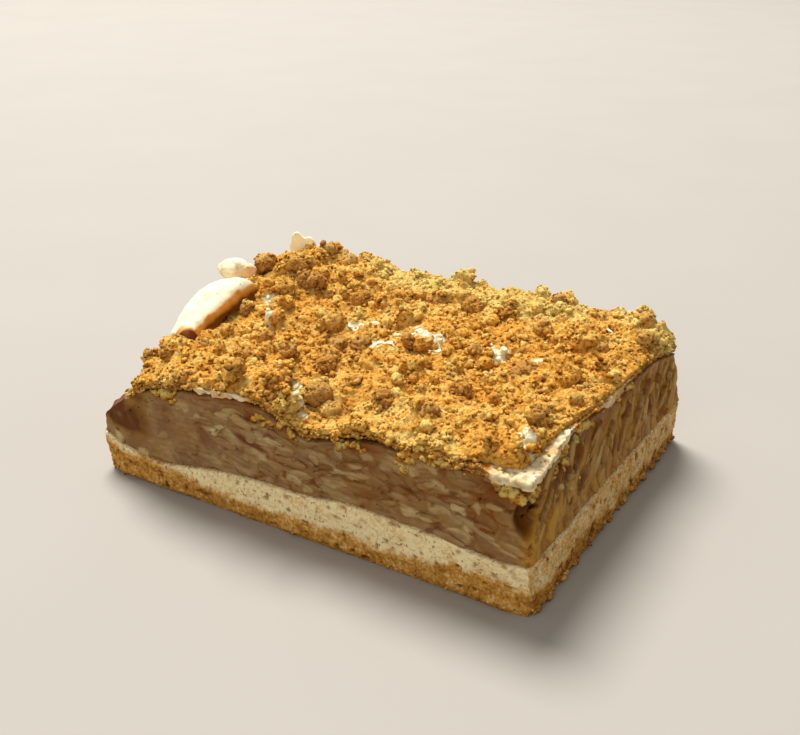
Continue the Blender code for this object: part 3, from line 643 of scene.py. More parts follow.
def crumble_top(middle, normal):
    open_place = (1 - 0.86 * white_at(middle)) * (1 - 0.8 * in_field(middle, FLAKE_FRONT))
    bare_rim = sheet_whiteness(middle) * (middle[:, 2] < 0.0575) * np.where(normal[:, 2] > 0.6, 0.45, 0.95)
    to_side = np.minimum(0.102 - np.abs(middle[:, 0]), 0.0777 - np.abs(middle[:, 1]))
    open_place = open_place * (1 + 4.0 * (to_side < 0.0035) * (middle[:, 2] < 0.058) * (1 - sheet_whiteness(middle)))
    return (normal[:, 2] > -0.35) * (0.6 + 0.5 * np.clip(normal[:, 2], 0, 1)) * open_place * (1 - bare_rim)


def up_on_crumb(points, owner, middles, radii):
    """From about -1 below to 1 above: how high a point lies on its own crumb."""
    return (points[:, 2] - middles[owner, 2]) / radii[owner]


def underside_shade(points, owner, middles, radii):
    """How far down a point lies on its own crumb, as painted shade that darkens its underside."""
    return ease(up_on_crumb(points, owner, middles, radii), 0.15, -0.8)


def painted_top_light(points, owner, middles, radii):
    """Painted light: the top of a crumb is made less browned than its foot, as light falls from above."""
    return 0.20 * np.clip(up_on_crumb(points, owner, middles, radii), -1, 1)


# %% [markdown]
# ## Clumps, lumps and crumbs
# Crumble comes in every size. Clumps of a centimetre lie where the photo has them, lumps of four
# millimetres are kept apart from one another, and the crumbs and sand lie over all of them, so that
# a clump reads as many crumbs pressed together. Each copy is sunk partly into what is under it, so
# nothing floats.

# %% Clumps at named places
rng = np.random.default_rng(5)
top_tree = BVHTree.FromPolygons([tuple(p) for p in top_points], top_triangles.tolist())
clump_table = np.array(CLUMPS, float)
clump_radii = clump_table[:, 2] * MM * 0.86
clump_middles = []
for x, y, radius, _ in CLUMPS:
    ground = top_tree.ray_cast(Vector((x * MM, y * MM, 0.12)), Vector((0, 0, -1)))[0]
    clump_middles.append((x * MM, y * MM, ground.z - radius * MM * 0.02))
clump_middles = np.array(clump_middles)
clump_tan = rng.uniform(0.4, 1.0, len(CLUMPS))
kinds, faces = knobbly_balls(4, 8, 0.45, 0.38, 31)
clump_points, clump_triangles, owner = scatter(rng, kinds, faces, clump_middles, clump_radii, (0.75, 1.15))
clump_points, gaps = granular(clump_points, owner, clump_middles, 3.4 * MM, 1.5 * MM, 33)
# Painted light and shade: the top of each clump is browned less, the gaps between its grains and its underside are
# darker.
browning = clump_table[owner, 3] - 0.02 + 0.24 * rolling(clump_points, 0.004, 34)
browning -= 0.7 * painted_top_light(clump_points, owner, clump_middles, clump_radii)
shade = 0.75 * ease(gaps, 0.35, 0.8) + 0.45 * underside_shade(clump_points, owner, clump_middles, clump_radii)
clumps = make_piece(
    "crumble_clumps", clump_points, clump_triangles, crumble_material,
    {"browning": browning, "depth": np.clip(shade, 0, 0.85), "tan": clump_tan[owner]},
)

# %% Lumps kept apart
middles, normals = places_on(rng, top_points, top_triangles, crumble_top, 1500)
radii = rng.uniform(1.1, 2.4, len(middles)) * MM
kept = rng.permutation(spread_out(middles, radii, 1.0))[:170]
middles, normals, radii = middles[kept], normals[kept], radii[kept]
middles = middles + normals * (radii * 0.25)[:, None]
free = clear_of_standing(middles, radii * 1.3)
middles, radii = middles[free], radii[free]
lump_tone = rng.normal(0.06, 0.12, len(middles))
kinds, faces = knobbly_balls(3, 12, 0.50, 0.46, 41, 0.07)
lump_points, lump_triangles, owner = scatter(rng, kinds, faces, middles, radii)
lump_points, gaps = granular(lump_points, owner, middles, 2.0 * MM, 1.1 * MM, 44)
# Painted light and shade: the top of each lump is browned less, the gaps between its grains and its underside are
# darker.
browning = field_browning(lump_points) + lump_tone[owner] + 0.12 * rolling(lump_points, 0.002, 42)
browning -= painted_top_light(lump_points, owner, middles, radii)
shade = 0.6 * underside_shade(lump_points, owner, middles, radii) + 0.5 * ease(gaps, 0.4, 0.8)
lumps = make_piece(
    "crumble_lumps", lump_points, lump_triangles, crumble_material,
    {"browning": browning, "depth": shade},
)

# %% [markdown]
# ## Meringue material
# Baked meringue is matt and cream-white, caramel where it browned, with tiny holes that are painted
# darker as shade in them. One material serves the layer, the patches and the broken pieces. A
# browning number at the points says where it turned caramel, and a second number mixes in a
# grey-brown: painted shade on the white strip and between the knobs of the round piece, and random
# greying on the other pieces.

# %% Meringue material
meringue_material, tree, shader = food_material("baked_meringue", 0.62, 0.25, 0.002)
shader.inputs["Subsurface Radius"].default_value = (1.0, 0.85, 0.65)
grain = use_group(tree, grain_group, Size=900.0, Roughening=0.7)
holes = use_group(tree, pores_group, Size=420.0, Share=0.02).outputs["Mask"]
cloudy = stretch_range(tree, noise_on(tree, 160.0, 3.0), 0.35, 0.7, -0.10, 0.10)
caramel = sum_of(tree, "ADD", value_at_points(tree, "browning"), cloudy)
meringue_colour = use_group(
    tree, browning_group, Browning=caramel, Pale=screen(248, 239, 206), Golden=screen(222, 150, 56),
    Toasted=screen(106, 56, 10),
).outputs["Color"]
# Painted shade: the tiny holes are darkened.
meringue_colour = blend_colours(tree, sum_of(tree, "MULTIPLY", holes, 0.7), meringue_colour, screen(150, 112, 62))
# Painted shade, and random greying, mix in a grey-brown.
meringue_colour = blend_colours(tree, value_at_points(tree, "greying_and_painted_shade"), meringue_colour, screen(184, 158, 108))
tree.links.new(meringue_colour, shader.inputs["Base Color"])
height = sum_of(tree, "SUBTRACT", sum_of(tree, "MULTIPLY", grain.outputs["Height"], 0.5), holes)
tree.links.new(stretch_range(tree, caramel, 0.3, 1.0, 0.62, 0.38), shader.inputs["Roughness"])
bump(tree, shader, height, 0.6, 0.0005)

# %% [markdown]
# ## The meringue layer
# Only the rim of this thin sheet shows: a pale ragged edge along the cuts, and a broad white strip at
# the front right corner, where the crumble fell away. The fine copy is cut up along the rim alone.

# %% Meringue layer
slab_low, slab_high = solid_box


def near_side(point, within):
    """True within a distance of any of the four sides."""
    in_x = min(point.x - slab_low.x, slab_high.x - point.x)
    in_y = min(point.y - slab_low.y, slab_high.y - point.y)
    return min(in_x, in_y) < within


def sheet_allowed(middle, up, flat):
    if middle.x > 0.074 and middle.y < -0.032 and near_side(middle, 0.016):
        return 0.9 * MM
    return 1.7 * MM if near_side(middle, 0.014) and up > -0.6 else 1.0


shape = fine_copy("meringue_layer", sheet_allowed)
sheet_points, outward, sheet_triangles = arrays_of(shape)
inwards = np.minimum(slab_high.x - np.abs(sheet_points[:, 0]), slab_high.y - np.abs(sheet_points[:, 1]))
rim = ease(inwards, 0.012, 0.004)
crumbly, number = domes(sheet_points, 1.9 * MM, 71)
swell = 1.0 * crumbly + 0.8 * rolling(sheet_points, 0.004, 72) + 0.6 * rolling(sheet_points, 0.0014, 74) - 0.9
swell = swell - 1.5 * (1 - sheet_whiteness(sheet_points)) * (np.abs(outward[:, 2]) < 0.7)
sheet_points = sheet_points + outward * (swell * rim * MM)[:, None]


whiteness = sheet_whiteness(sheet_points) * (0.6 + 0.4 * ease(rolling(sheet_points, 0.005, 73), -0.75, -0.1))
# Painted shade: the white strip is greyed overall, and more in the crevices between its crumbly domes.
layer = make_piece(
    "meringue_sheet", sheet_points, sheet_triangles, meringue_material,
    {
        "browning": 0.74 - 0.68 * whiteness + 0.1 * (number - 0.5),
        "greying_and_painted_shade": whiteness * np.clip(0.42 + 0.8 * ease(crumbly, 0.8, 0.3) + 0.35 * rolling(sheet_points, 0.004, 75), 0, 0.95),
    }, ("meringue_layer",),
)

# %% [markdown]
# ## Crumbs and sand
# The smallest crumbs lie over the body, the clumps, the lumps and the browned rim of the meringue.
# They are ragged, because a crumb is torn and not rolled.

# %% Crumbs and sand over everything
heap = (
    (top_points, top_triangles), (clump_points, clump_triangles), (lump_points, lump_triangles),
    (sheet_points, sheet_triangles),
)
starts = np.cumsum([0] + [len(points) for points, _ in heap])
heap_points = np.concatenate([points for points, _ in heap])
heap_triangles = np.concatenate([triangles + start for (_, triangles), start in zip(heap, starts)])
heap_tree = BVHTree.FromPolygons([tuple(p) for p in heap_points], heap_triangles.tolist())
clump_of_place = BVHTree.FromPolygons([tuple(p) for p in clump_points], clump_triangles.tolist())


def clustered(rng, count):
    """Crumbs that stick together in small heaps, with one tone for each heap."""
    homes, normals = places_on(rng, heap_points, heap_triangles, crumble_top, count)
    middles, radii, tone = [], [], []
    for home, normal in zip(homes, normals):
        members = rng.integers(3, 10)
        spread = rng.uniform(0.7, 1.7) * MM
        heap_tone = rng.normal(0.08, 0.13)
        for _ in range(members):
            aside = rng.normal(0, spread, 3)
            place, out, _, _ = heap_tree.find_nearest(Vector(home + aside), 0.012)
            if place is None or out.z < -0.35:
                continue
            radius = rng.uniform(0.55, 1.3) * MM
            lift = radius * 0.3 + 0.7 * spread * max(0.0, 1 - np.linalg.norm(aside) / (2 * spread))
            middles.append(np.array(place) + lift * (0.6 * normal + 0.4 * np.array(out)))
            radii.append(radius)
            tone.append(heap_tone + rng.normal(0, 0.07))
    return np.array(middles), np.array(radii), np.array(tone)


def loose(rng, count):
    """Single crumbs that fell anywhere."""
    middles, normals = places_on(rng, heap_points, heap_triangles, crumble_top, count)
    radii = rng.uniform(0.34, 0.82, count) * MM
    tone = rng.normal(0.06, 0.12, count) + rng.choice((0.0, -0.24, 0.30), p=(0.86, 0.05, 0.09), size=count)
    return middles + normals * (radii * 0.35)[:, None], radii, tone


def near_clump(middles):
    """For each crumb that lies on a clump the clump's row, and otherwise -1."""
    rows = np.full(len(middles), -1)
    for n, middle in enumerate(middles):
        if clump_of_place.find_nearest(Vector(middle), 0.0016)[0] is not None:
            rows[n] = np.argmin(np.linalg.norm(clump_middles - middle, axis=1))
    return rows


for name, place_crumbs, count, level, seed in (
    ("crumble_crumbs", clustered, 400, 2, 51),
    ("crumble_sand", loose, 9600, 1, 61),
):
    middles, radii, tone = place_crumbs(rng, count)
    bare_place = np.maximum(white_at(middles), sheet_whiteness(middles) * (middles[:, 2] < 0.0575))
    free = clear_of_standing(middles, radii) & (bare_place < rng.uniform(0.2, 1.4, len(middles)))
    middles, radii, tone = middles[free], radii[free], tone[free] + field_browning(middles[free])
    greyer = ease(rolling(middles, 0.011, 66), 0.25, 0.7) * 0.6
    rows = near_clump(middles)
    tone = np.where(rows >= 0, 0.4 * tone + 0.6 * clump_table[rows, 3] + 0.04, tone)
    greyer = np.where(rows >= 0, clump_tan[rows], greyer)
    kinds, faces = knobbly_balls(level, 16, 0.6, 0.38, seed, 0.15)
    points, triangles, owner = scatter(rng, kinds, faces, middles, radii, (0.65, 1.3))
    # Painted light and shade: each crumb's top is browned less and its underside darkened.
    browning = tone[owner] - painted_top_light(points, owner, middles, radii)
    depth = 0.8 * underside_shade(points, owner, middles, radii)
    make_piece(
        name, points, triangles, crumble_material,
        {"browning": browning, "depth": depth, "tan": greyer[owner]},
    )

# %% Meringue that shows between the crumbs
rng = np.random.default_rng(8)
chip_middles, chip_radii, chip_normals = [], [], []
for x, y, reach_x, reach_y in WHITE_PATCHES:
    for _ in range(int(0.6 + reach_x * 0.9)):
        place = Vector((x + rng.normal(0, reach_x * 0.55), y + rng.normal(0, reach_y * 0.55), 120)) * MM
        ground, normal, _, _ = top_tree.ray_cast(place, Vector((0, 0, -1)))
        if ground is not None:
            chip_middles.append(ground + Vector((0, 0, 0.0004)))
            chip_normals.append((normal + Vector((0, 0, 0.8))).normalized())
            chip_radii.append(rng.uniform(0.5, 1.3) * MM)
kinds, faces = knobbly_balls(3, 10, 0.8, 0.45, 81, 0.05)
points, triangles, owner = scatter(
    rng, kinds, faces, np.array(chip_middles), np.array(chip_radii), (0.55, 1.5), np.array(chip_normals), 0.5
)
patches = make_piece(
    "meringue_patches", points, triangles, meringue_material,
    {"browning": 0.02 + 0.10 * rolling(points, 0.003, 82), "greying_and_painted_shade": 0.1 * ease(rolling(points, 0.002, 83), 0.1, 0.6)},
)

# %% [markdown]
# ## The broken pieces of meringue
# The curled piece is smooth and white outside, and its inside and its broken rim are caramel. Its
# solid is thin, so three rounds of subdivision are enough to round it before it is wrinkled.


# %% Fine copies of the standing pieces
def subdivided(node, levels):
    """The solid rounded off by subdivision."""
    source = bpy.data.objects.new("rounding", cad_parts[node].data.copy())
    bpy.context.scene.collection.objects.link(source)
    weld = source.modifiers.new("weld", "WELD")
    weld.merge_threshold = 1e-6
    rounding = source.modifiers.new("rounding", "SUBSURF")
    rounding.levels = levels
    rounding.render_levels = levels
    graph = bpy.context.evaluated_depsgraph_get()
    graph.update()
    mesh = bpy.data.meshes.new_from_object(source.evaluated_get(graph))
    shape = bmesh.new()
    shape.from_mesh(mesh)
    bmesh.ops.triangulate(shape, faces=shape.faces)
    bpy.data.objects.remove(source, do_unlink=True)
    return shape


# %% Curled piece
points, outward, triangles = arrays_of(subdivided("meringue_shell", 3))
middle_line = np.array((-0.0745, -0.020, 0.0575))
to_inside = ((middle_line - points) * outward)[:, [0, 2]].sum(axis=1) / np.linalg.norm(
    (middle_line - points)[:, [0, 2]], axis=1
)
inside = ease(to_inside, -0.15, 0.35)
rim = ease(points[:, 0], -0.0790, -0.0715)
wrinkle = 0.5 * rolling(points, (0.006, 0.012, 0.006), 91) + 0.25 * rolling(points, 0.0025, 92)
points = points + outward * (wrinkle * MM)[:, None]
points = points + np.outer(rim ** 2 * 4.5 * MM, (-0.1, 0.1, -1.0))
turned = ease(rim + 0.10 * rolling(points, 0.004, 98), 0.34, 0.48)
browning = 0.03 + 1.1 * inside + (0.50 + 0.62 * ease(rim, 0.60, 0.90)) * turned * (1 - 0.7 * inside)
browning += 0.06 * rolling(points, 0.004, 93)
make_piece(
    "curled_meringue", points, triangles, meringue_material,
    {"browning": browning}, ("meringue_shell",),
)

# %% Nugget and flake
points, outward, triangles = arrays_of(subdivided("meringue_nugget", 3))
knobs, _ = domes(points, 4.4 * MM, 97)
points = points + outward * ((0.7 * rolling(points, 0.003, 94) + 1.8 * knobs - 1.2) * MM)[:, None]
leftward = np.array((-0.855, -0.519, 0.0))
along = (points - points.mean(axis=0)) @ leftward
points = points + np.outer((along - along.min()) * 0.40, leftward)
# Painted shade: the lower right side, away from the light, is browned, and the grey-brown between the knobs is painted
# shade.
shaded_side = ease(points[:, 0] - points[:, 2] * 0.5, -0.124, -0.117)
make_piece(
    "round_meringue", points, triangles, meringue_material,
    {"browning": 0.10 + 0.22 * shaded_side, "greying_and_painted_shade": 0.06 + 0.3 * ease(knobs, 0.8, 0.3)}, ("meringue_nugget",),
)
points, outward, triangles = arrays_of(subdivided("meringue_flake", 2))
points = points + outward * (0.4 * rolling(points, 0.0028, 95) * MM)[:, None]
points[:, 2] = 0.0627 + (points[:, 2] - 0.0627) * 1.18
make_piece(
    "standing_meringue", points, triangles, meringue_material,
    {"browning": -0.08 + 0.08 * rolling(points, 0.005, 96), "greying_and_painted_shade": 0.1 * rolling(points, 0.002, 99)}, ("meringue_flake",),
)

# %% [markdown]
# ## Apple material
# Cooked apple is translucent and moist. Between the slices sits brown juice. The numbers kept at
# the points say which tone a slice has, how much juice covers it and where sugar turned to caramel,
# and the material only has to mix the colours and let light soak in.

# %% Apple material
apple_material, tree, shader = food_material("cooked_apple", 0.45, 0.25, 0.002)
streaks = add_node(tree, "Mapping", {"Vector": add_node(tree, "TexCoord").outputs["Object"], "Scale": (0.35, 0.6, 1.6)})
fibres = add_node(tree, "TexNoise", {"Vector": streaks.outputs[0], "Scale": 420.0, "Detail": 3.0}).outputs["Fac"]
tone = sum_of(tree, "ADD", value_at_points(tree, "tone"), stretch_range(tree, fibres, 0.3, 0.7, -0.20, 0.20))
flesh = blend_colours(tree, stretch_range(tree, tone, 0.0, 0.5), screen(122, 88, 58), screen(152, 125, 82))
flesh = blend_colours(tree, stretch_range(tree, tone, 0.5, 1.0), flesh, screen(188, 168, 122))
flesh = blend_colours(tree, value_at_points(tree, "yellow"), flesh, screen(194, 146, 50))
flesh = blend_colours(tree, value_at_points(tree, "juice"), flesh, screen(118, 62, 6))
flesh = blend_colours(tree, value_at_points(tree, "caramel"), flesh, screen(96, 49, 3))
tree.links.new(flesh, shader.inputs["Base Color"])
tree.links.new(stretch_range(tree, fibres, 0.3, 0.7, 0.34, 0.52), shader.inputs["Roughness"])
bump(tree, shader, fibres, 0.35, 0.0004)

# %% [markdown]
# ## The apple layer
# The slices lie along the layer on the long cut and were dragged nearly upright by the knife on the
# short cut. Each one is a soft bar laid over those before it, with its own tone, height and film of
# juice, and a slow bend of the whole wall keeps the bars from looking stamped. At the front left the
# apples cooked to a smooth compote, so the pattern fades out there. The side that stood against the
# tin is browned in patches.


# %% Directions in which the slices lie
def slice_grid(points, on_right):
    """Coordinates measured along, into and across the slices."""
    tilt = np.radians(np.where(on_right, 62, -4))
    along = np.where(on_right, points[:, 1], points[:, 0])
    into = np.where(on_right, points[:, 0], points[:, 1])
    run = along * np.cos(tilt) + points[:, 2] * np.sin(tilt)
    across = points[:, 2] * np.cos(tilt) - along * np.sin(tilt)
    return np.stack([run, into, across], axis=1)


def apple_values(points, outward):
    """The tone, yellowness and caramel of the apple layer, by place."""
    x, y, z = points.T
    on_right = outward[:, 0] > 0.6
    cooked = (1 - ease(x, -0.060, -0.040)) * (outward[:, 1] < 0.5) * np.where(outward[:, 0] < -0.5, 0.5, 1.0)
    yellow = np.where(on_right, 0.80, 0.06) + 0.2 * rolling(points, 0.014, 101)
    top_left = ease(x, -0.068, -0.079) * ease(z + 0.002 * rolling(points, 0.008, 102), 0.019, 0.025)
    tin_side = ease(outward[:, 0], -0.4, -0.8) * np.clip(0.26 + 0.55 * rolling(points, 0.011, 141) + 0.35 * rolling(points, 0.003, 142), 0, 0.8)
    hollow = ease(np.hypot(np.hypot(x - 0.0995, y + 0.0760), z - 0.0378), 0.0104, 0.0074)
    streak = ease(np.hypot((x + 0.020) / 0.010, (z - 0.0345 + (x + 0.020) * 0.3) / 0.0020), 1.1, 0.5)
    caramel = np.clip((1.3 - 0.5 * ease(z, 0.029, 0.037)) * (0.85 + 0.4 * rolling(points, 0.0035, 143)) * top_left + tin_side + 0.95 * hollow + 0.9 * streak * (y < -0.06), 0, 1)
    edge = ease(y, -0.070, -0.0755) * ease(x, 0.092, 0.097) * ease(np.abs(z - 0.026), 0.011, 0.006)
    return on_right, cooked, np.clip(yellow + 0.6 * edge + 0.6 * top_left, 0, 1), caramel


# %% Slices pressed one over another
FRONT_SLICES = (
    (-42, 37, -20, 6.6, 1.7, 0.64), (-30, 43, 5, 8.5, 1.4, 0.72), (-54, 41, -10, 3.7, 2.0, 0.80),
    (-36, 36, 45, 3.9, 1.5, 0.88), (26, 35, 9, 8.6, 1.2, 0.88), (30, 39, 4, 3.7, 0.9, 0.82),
    (20, 42, -26, 2.6, 1.9, 0.75), (33, 44, -23, 2.7, 1.9, 0.80), (50, 43, -45, 3.7, 1.0, 0.75),
    (58, 48, -39, 4.1, 1.1, 0.95), (42, 22, -6, 8.3, 2.2, 0.02), (3, 24, -14, 5.7, 1.9, 0.72),
    (54, 27, 2, 6.3, 1.8, 0.75), (70, 35, 1, 3.3, 2.2, 1.0), (77, 37, -50, 2.4, 1.7, 0.90),
    (84, 40, -9, 3.2, 1.8, 0.95), (86, 22, -19, 9.3, 2.2, 0.02), (86, 25, -20, 7.1, 0.9, 0.65),
    (19, 25, 4, 6.7, 1.5, 0.45), (8, 18, 5, 9.3, 1.6, 0.25), (63, 41, -27, 3.8, 1.4, 0.72),
    (70, 25, -10, 6.0, 1.6, 0.62), (-11, 37, 0, 5.9, 1.5, 0.62), (0, 31, -11, 3.5, 1.6, 0.78),
    (-90, 18, -37, 2.6, 2.2, 0.95), (-77, 14, -16, 3.4, 2.2, 0.85), (54, 21, -2, 5.0, 0.8, 1.0),
)


def lay_slices(rng, run, up, ends, count, lean_by, lengths, thicks, named=()):
    """Tone, height and juice at each point of a cut on which soft slices lie over one another."""
    places = np.stack([run, up, 0 * up], axis=1)
    tone = 0.35 + 0.25 * rolling(places, 6.0, 121)
    run = run + 1.3 * rolling(places, 3.6, 123)
    up = up + 0.75 * rolling(places, 2.6, 124)
    height = np.zeros(len(run))
    juice = np.full(len(run), 0.5)
    shades, shares = (0.05, 0.3, 0.45, 0.65, 0.95), (0.24, 0.26, 0.25, 0.16, 0.09)
    for n in range(count + len(named)):
        if n < count:
            lean = rng.normal(*lean_by)
            length, thick = rng.uniform(*lengths), rng.uniform(*thicks)
            if rng.uniform() < 0.12:
                length, thick = length * 0.4, thick * 1.3
            middle_run, middle_up = rng.uniform(*ends), rng.uniform(14, 55)
            shade = rng.choice(shades, p=shares)
        else:
            middle_run, middle_up, lean, length, thick, shade = named[n - count]
        lean = math.radians(lean)
        reach = 1.35 * max(length, thick) + 1
        near = np.flatnonzero((np.abs(run - middle_run) < reach) & (np.abs(up - middle_up) < reach))
        along, across = run[near] - middle_run, up[near] - middle_up
        s = (along * math.cos(lean) + across * math.sin(lean)) / length
        t = (across * math.cos(lean) - along * math.sin(lean)) / thick + rng.normal(0, 0.35) * s * s
        wavy = 0.16 * rolling(np.stack([run[near], up[near], np.full(len(near), n)], axis=1), 2.6, 122)
        far = np.abs(s) ** 3.4 + np.abs(t) ** 2.4 + wavy
        cover = ease(far, 1.5, 0.45) * (rng.uniform(0.45, 0.90) if n < count else 0.92)
        tone[near] += (shade + 0.16 * t - tone[near]) * cover
        height[near] += (rng.uniform(0.0, 0.7) + 0.35 * np.clip(1 - far, 0, 1) - height[near]) * cover
        juice[near] += (rng.choice((0.0, 0.08, 0.35)) * (n < count) - juice[near]) * cover
        juice[near] += ease(np.abs(far - 1.3), 0.5, 0.0) * rng.choice((0.0, 0.1, 0.25, 0.5))
    return tone, height, np.clip(juice, 0, 1)


# %% Apple body
def apple_allowed(middle, up, flat):
    if not near_side(middle, 0.024 if middle.x < -0.07 else 0.006) or flat > 0.93:
        return 1.0
    return 1.1 * MM if middle.y < -0.05 or middle.x > 0.09 else 1.7 * MM


shape = fine_copy("apple_filling", apple_allowed)
soften(shape, 3, lambda vert: near_side(vert.co, 0.024 if vert.co.x < -0.07 else 0.004))
points, outward, triangles = arrays_of(shape)
on_right, cooked, yellow, caramel = apple_values(points, outward)
rng = np.random.default_rng(17)
x, y, z = points.T / MM
front_slices = lay_slices(rng, x, z, (-66, 100), 230, (-6, 17), (5.0, 14.0), (1.4, 3.7), FRONT_SLICES)
right_slices = lay_slices(rng, y, z, (-76, 78), 230, (58, 22), (4.0, 9.5), (1.2, 3.2))
back_slices = lay_slices(rng, x, z, (-100, 100), 250, (0, 16), (4.0, 11.5), (1.2, 3.3))
left_slices = lay_slices(rng, y, z, (-78, 78), 130, (0, 14), (5.0, 13.0), (1.8, 4.2))
on_left = outward[:, 0] < -0.5
slice_tone, slice_height, slice_juice = (
    np.where(on_right, right, np.where(on_left, left, np.where(outward[:, 1] > 0.5, back, front)))
    for front, right, back, left in zip(front_slices, right_slices, back_slices, left_slices)
)
compote = np.clip(cooked * ~on_left + ease(x, -46, -60) * (outward[:, 1] < 0.5) * ~on_left, 0, 1) * (1 - 0.9 * (slice_tone > 0.6))
side = ease(np.abs(outward[:, 2]), 0.9, 0.5)
corner = ease(x, 76, 82) * ease(y, -32, -42)
rise = slice_height * (1 - 0.75 * compote) + 0.35 * rolling(points, 0.006, 104) + (0.25 + 0.45 * on_left) * rolling(points, 0.0026, 144) + 0.9 * on_left * rolling(points, 0.009, 146) - 0.5 * slice_juice - 0.3
rise = rise - 1.8 * corner * ease(z, 44, 48.5)
hollow = ease(np.hypot(np.hypot(x - 99.5, y + 76.0), z - 37.8), 9.6, 5.8)
points = points + outward * (rise * side * (1 - hollow) * MM)[:, None]
points = points + np.outer(hollow * 6.6 * MM, (-0.7, 0.7, 0.0))
bulge = ease(x, -66, -94) * ease(z, 13, 27) * ease(z, 43.5, 35)
points[:, 0] -= 5.0 * MM * bulge * (0.8 + 0.35 * rolling(points, 0.018, 145))
grid = slice_grid(points, on_right)
drag = ease(rolling(grid, (0.016, 0.01, 0.0022), 106), 0.05, 0.7)
juice = slice_juice * (1 - 0.8 * compote) + 0.25 * drag * on_right
roof = ease(z - 4.0 * rolling(points, 0.012, 108), 42, 49) * (1 - 0.8 * compote)
# Painted shade: juice colour under the overhanging meringue strip at the front right corner.
juice = np.clip(juice * 0.85 + 0.30 * ease(rolling(points, 0.011, 105), 0.1, 0.7) + 0.45 * roof + 0.12 * on_right + 0.4 * corner * ease(z, 44, 48), 0, 0.9)
slice_tone = np.where(on_right, 0.32 + 0.72 * (slice_tone - 0.45), slice_tone)
gaps = ease(rolling(points, (0.0040, 0.0040, 0.0019), 125), 0.58, 0.85) * (z < 50)
juice = np.clip(juice + 0.45 * gaps, 0, 0.95)
body_tone = 0.15 * rolling(points, 0.0017, 109) - 0.6 * gaps + slice_tone * (1 - compote) + compote * (0.22 + 0.30 * rolling(points, 0.009, 107))
apples = make_piece(
    "apple_body", points, triangles, apple_material,
    {"tone": body_tone, "juice": juice, "yellow": yellow, "caramel": caramel}, ("apple_filling",),
)
apple_tree = BVHTree.FromPolygons([tuple(p) for p in points], triangles.tolist())

# %% [markdown]
# ## Slices the knife laid open
# A cut slice shows as a long thin lens. Each one here is a small bent lens that sits in the wall
# and stands out by a fraction of a millimetre. They are placed in the plane of each cut, wide
# apart along their length and close together across it, as slices lie in a pack.

# %% One lens, as rings of points
LENS_POINTS = 16
LENS_RINGS = ((-1.0, 0.92), (-0.12, 1.0), (0.10, 0.90), (0.16, 0.60))


def lens_shape():
    """Along, across and outward coordinates of a lens, and its triangles."""
    rows = []
    for out, scale in LENS_RINGS:
        for k in range(LENS_POINTS):
            a = math.tau * k / LENS_POINTS
            along = math.copysign(abs(math.cos(a)) ** 0.55, math.cos(a))
            across = math.copysign(abs(math.sin(a)) ** 0.8, math.sin(a))
            rows.append((along * scale, across * scale, out))
    rows.append((0, 0, 0.18))
    faces = []
    for ring in range(len(LENS_RINGS) - 1):
        for k in range(LENS_POINTS):
            a, b = ring * LENS_POINTS + k, ring * LENS_POINTS + (k + 1) % LENS_POINTS
            faces += [(a, b, b + LENS_POINTS), (a, b + LENS_POINTS, a + LENS_POINTS)]
    last = (len(LENS_RINGS) - 1) * LENS_POINTS
    faces += [(last + k, last + (k + 1) % LENS_POINTS, len(rows) - 1) for k in range(LENS_POINTS)]
    return np.array(rows), np.array(faces)


# %% Place the lenses on the three cuts
lens_points, lens_faces = lens_shape()
rng = np.random.default_rng(17)
CUTS = {
    "front": ((1, 0, 0), (0, -1, 0), (-0.055, 0.090), 18, (-3, 15)),
    "right": ((0, 1, 0), (1, 0, 0), (-0.064, 0.070), 26, (64, 12)),
    "back": ((-1, 0, 0), (0, 1, 0), (-0.090, 0.092), 40, (0, 14)),
}
slice_points, slice_values = [], {key: [] for key in ("tone", "juice", "yellow", "caramel")}
for side_name, (run, away, (first, last), count, (tilt, spread)) in CUTS.items():
    run, away, up = np.array(run, float), np.array(away, float), np.array((0.0, 0, 1))
    placed = []
    for _ in range(count * 6):
        along = rng.uniform(first, last)
        start = run * along * (1 if side_name != "back" else -1) + away * 0.12 + up * rng.uniform(0.016, 0.054)
        lean = math.radians(rng.normal(tilt, spread))
        length, thick = rng.uniform(5.0, 9.5) * MM, rng.uniform(1.3, 2.2) * MM
        if rng.uniform() < 0.14:
            length, thick = length * 0.45, thick * 1.35
        way = run * math.cos(lean) + up * math.sin(lean)
        cross = np.cross(away, way)
        ends = [apple_tree.ray_cast(Vector(start + way * s * length * 0.9), Vector(-away), 0.09)[0] for s in (-1, 0, 1)]
        if any(end is None for end in ends) or len(placed) >= count:
            continue
        middle = np.array(ends[1])
        if max(abs((np.array(end) - middle) @ away) for end in ends) > 0.0022:
            continue
        if any(((middle - m) @ w / (l + length)) ** 2 + ((middle - m) @ c / (t + thick)) ** 2 < 0.62 for m, w, c, l, t in placed):
            continue
        placed.append((middle, way, cross, length, thick))
        bow = rng.normal(0, 0.10) * length
        s, t, o = lens_points.T
        outline = 1 + 0.10 * np.sin(s * 3 + rng.uniform(0, 6)) + 0.06 * rng.normal(size=len(s)) * (o < 0.15)
        shape_points = middle + np.outer(s * length, way) + np.outer(t * thick * outline + bow * (s * s - 0.4), cross)
        shape_points = shape_points + np.outer(o * 2.2 * MM + rng.uniform(-0.35, 0.05) * MM, away)
        slice_points.append(shape_points)
        ones = np.ones(len(s))
        slice_values["tone"].append(ones * rng.uniform(0.15, 0.66) + 0.1 * t)
        slice_values["juice"].append(ones * rng.uniform(0, 0.3) + 0.3 * (o < 0))
        slice_values["yellow"].append(ones * (rng.uniform(0.2, 0.6) if side_name == "right" else rng.uniform(0, 0.18)))
        slice_values["caramel"].append(ones * 0)
    print(side_name, "cut shows", len(placed), "slices")
faces = np.concatenate([lens_faces + n * len(lens_points) for n in range(len(slice_points))])
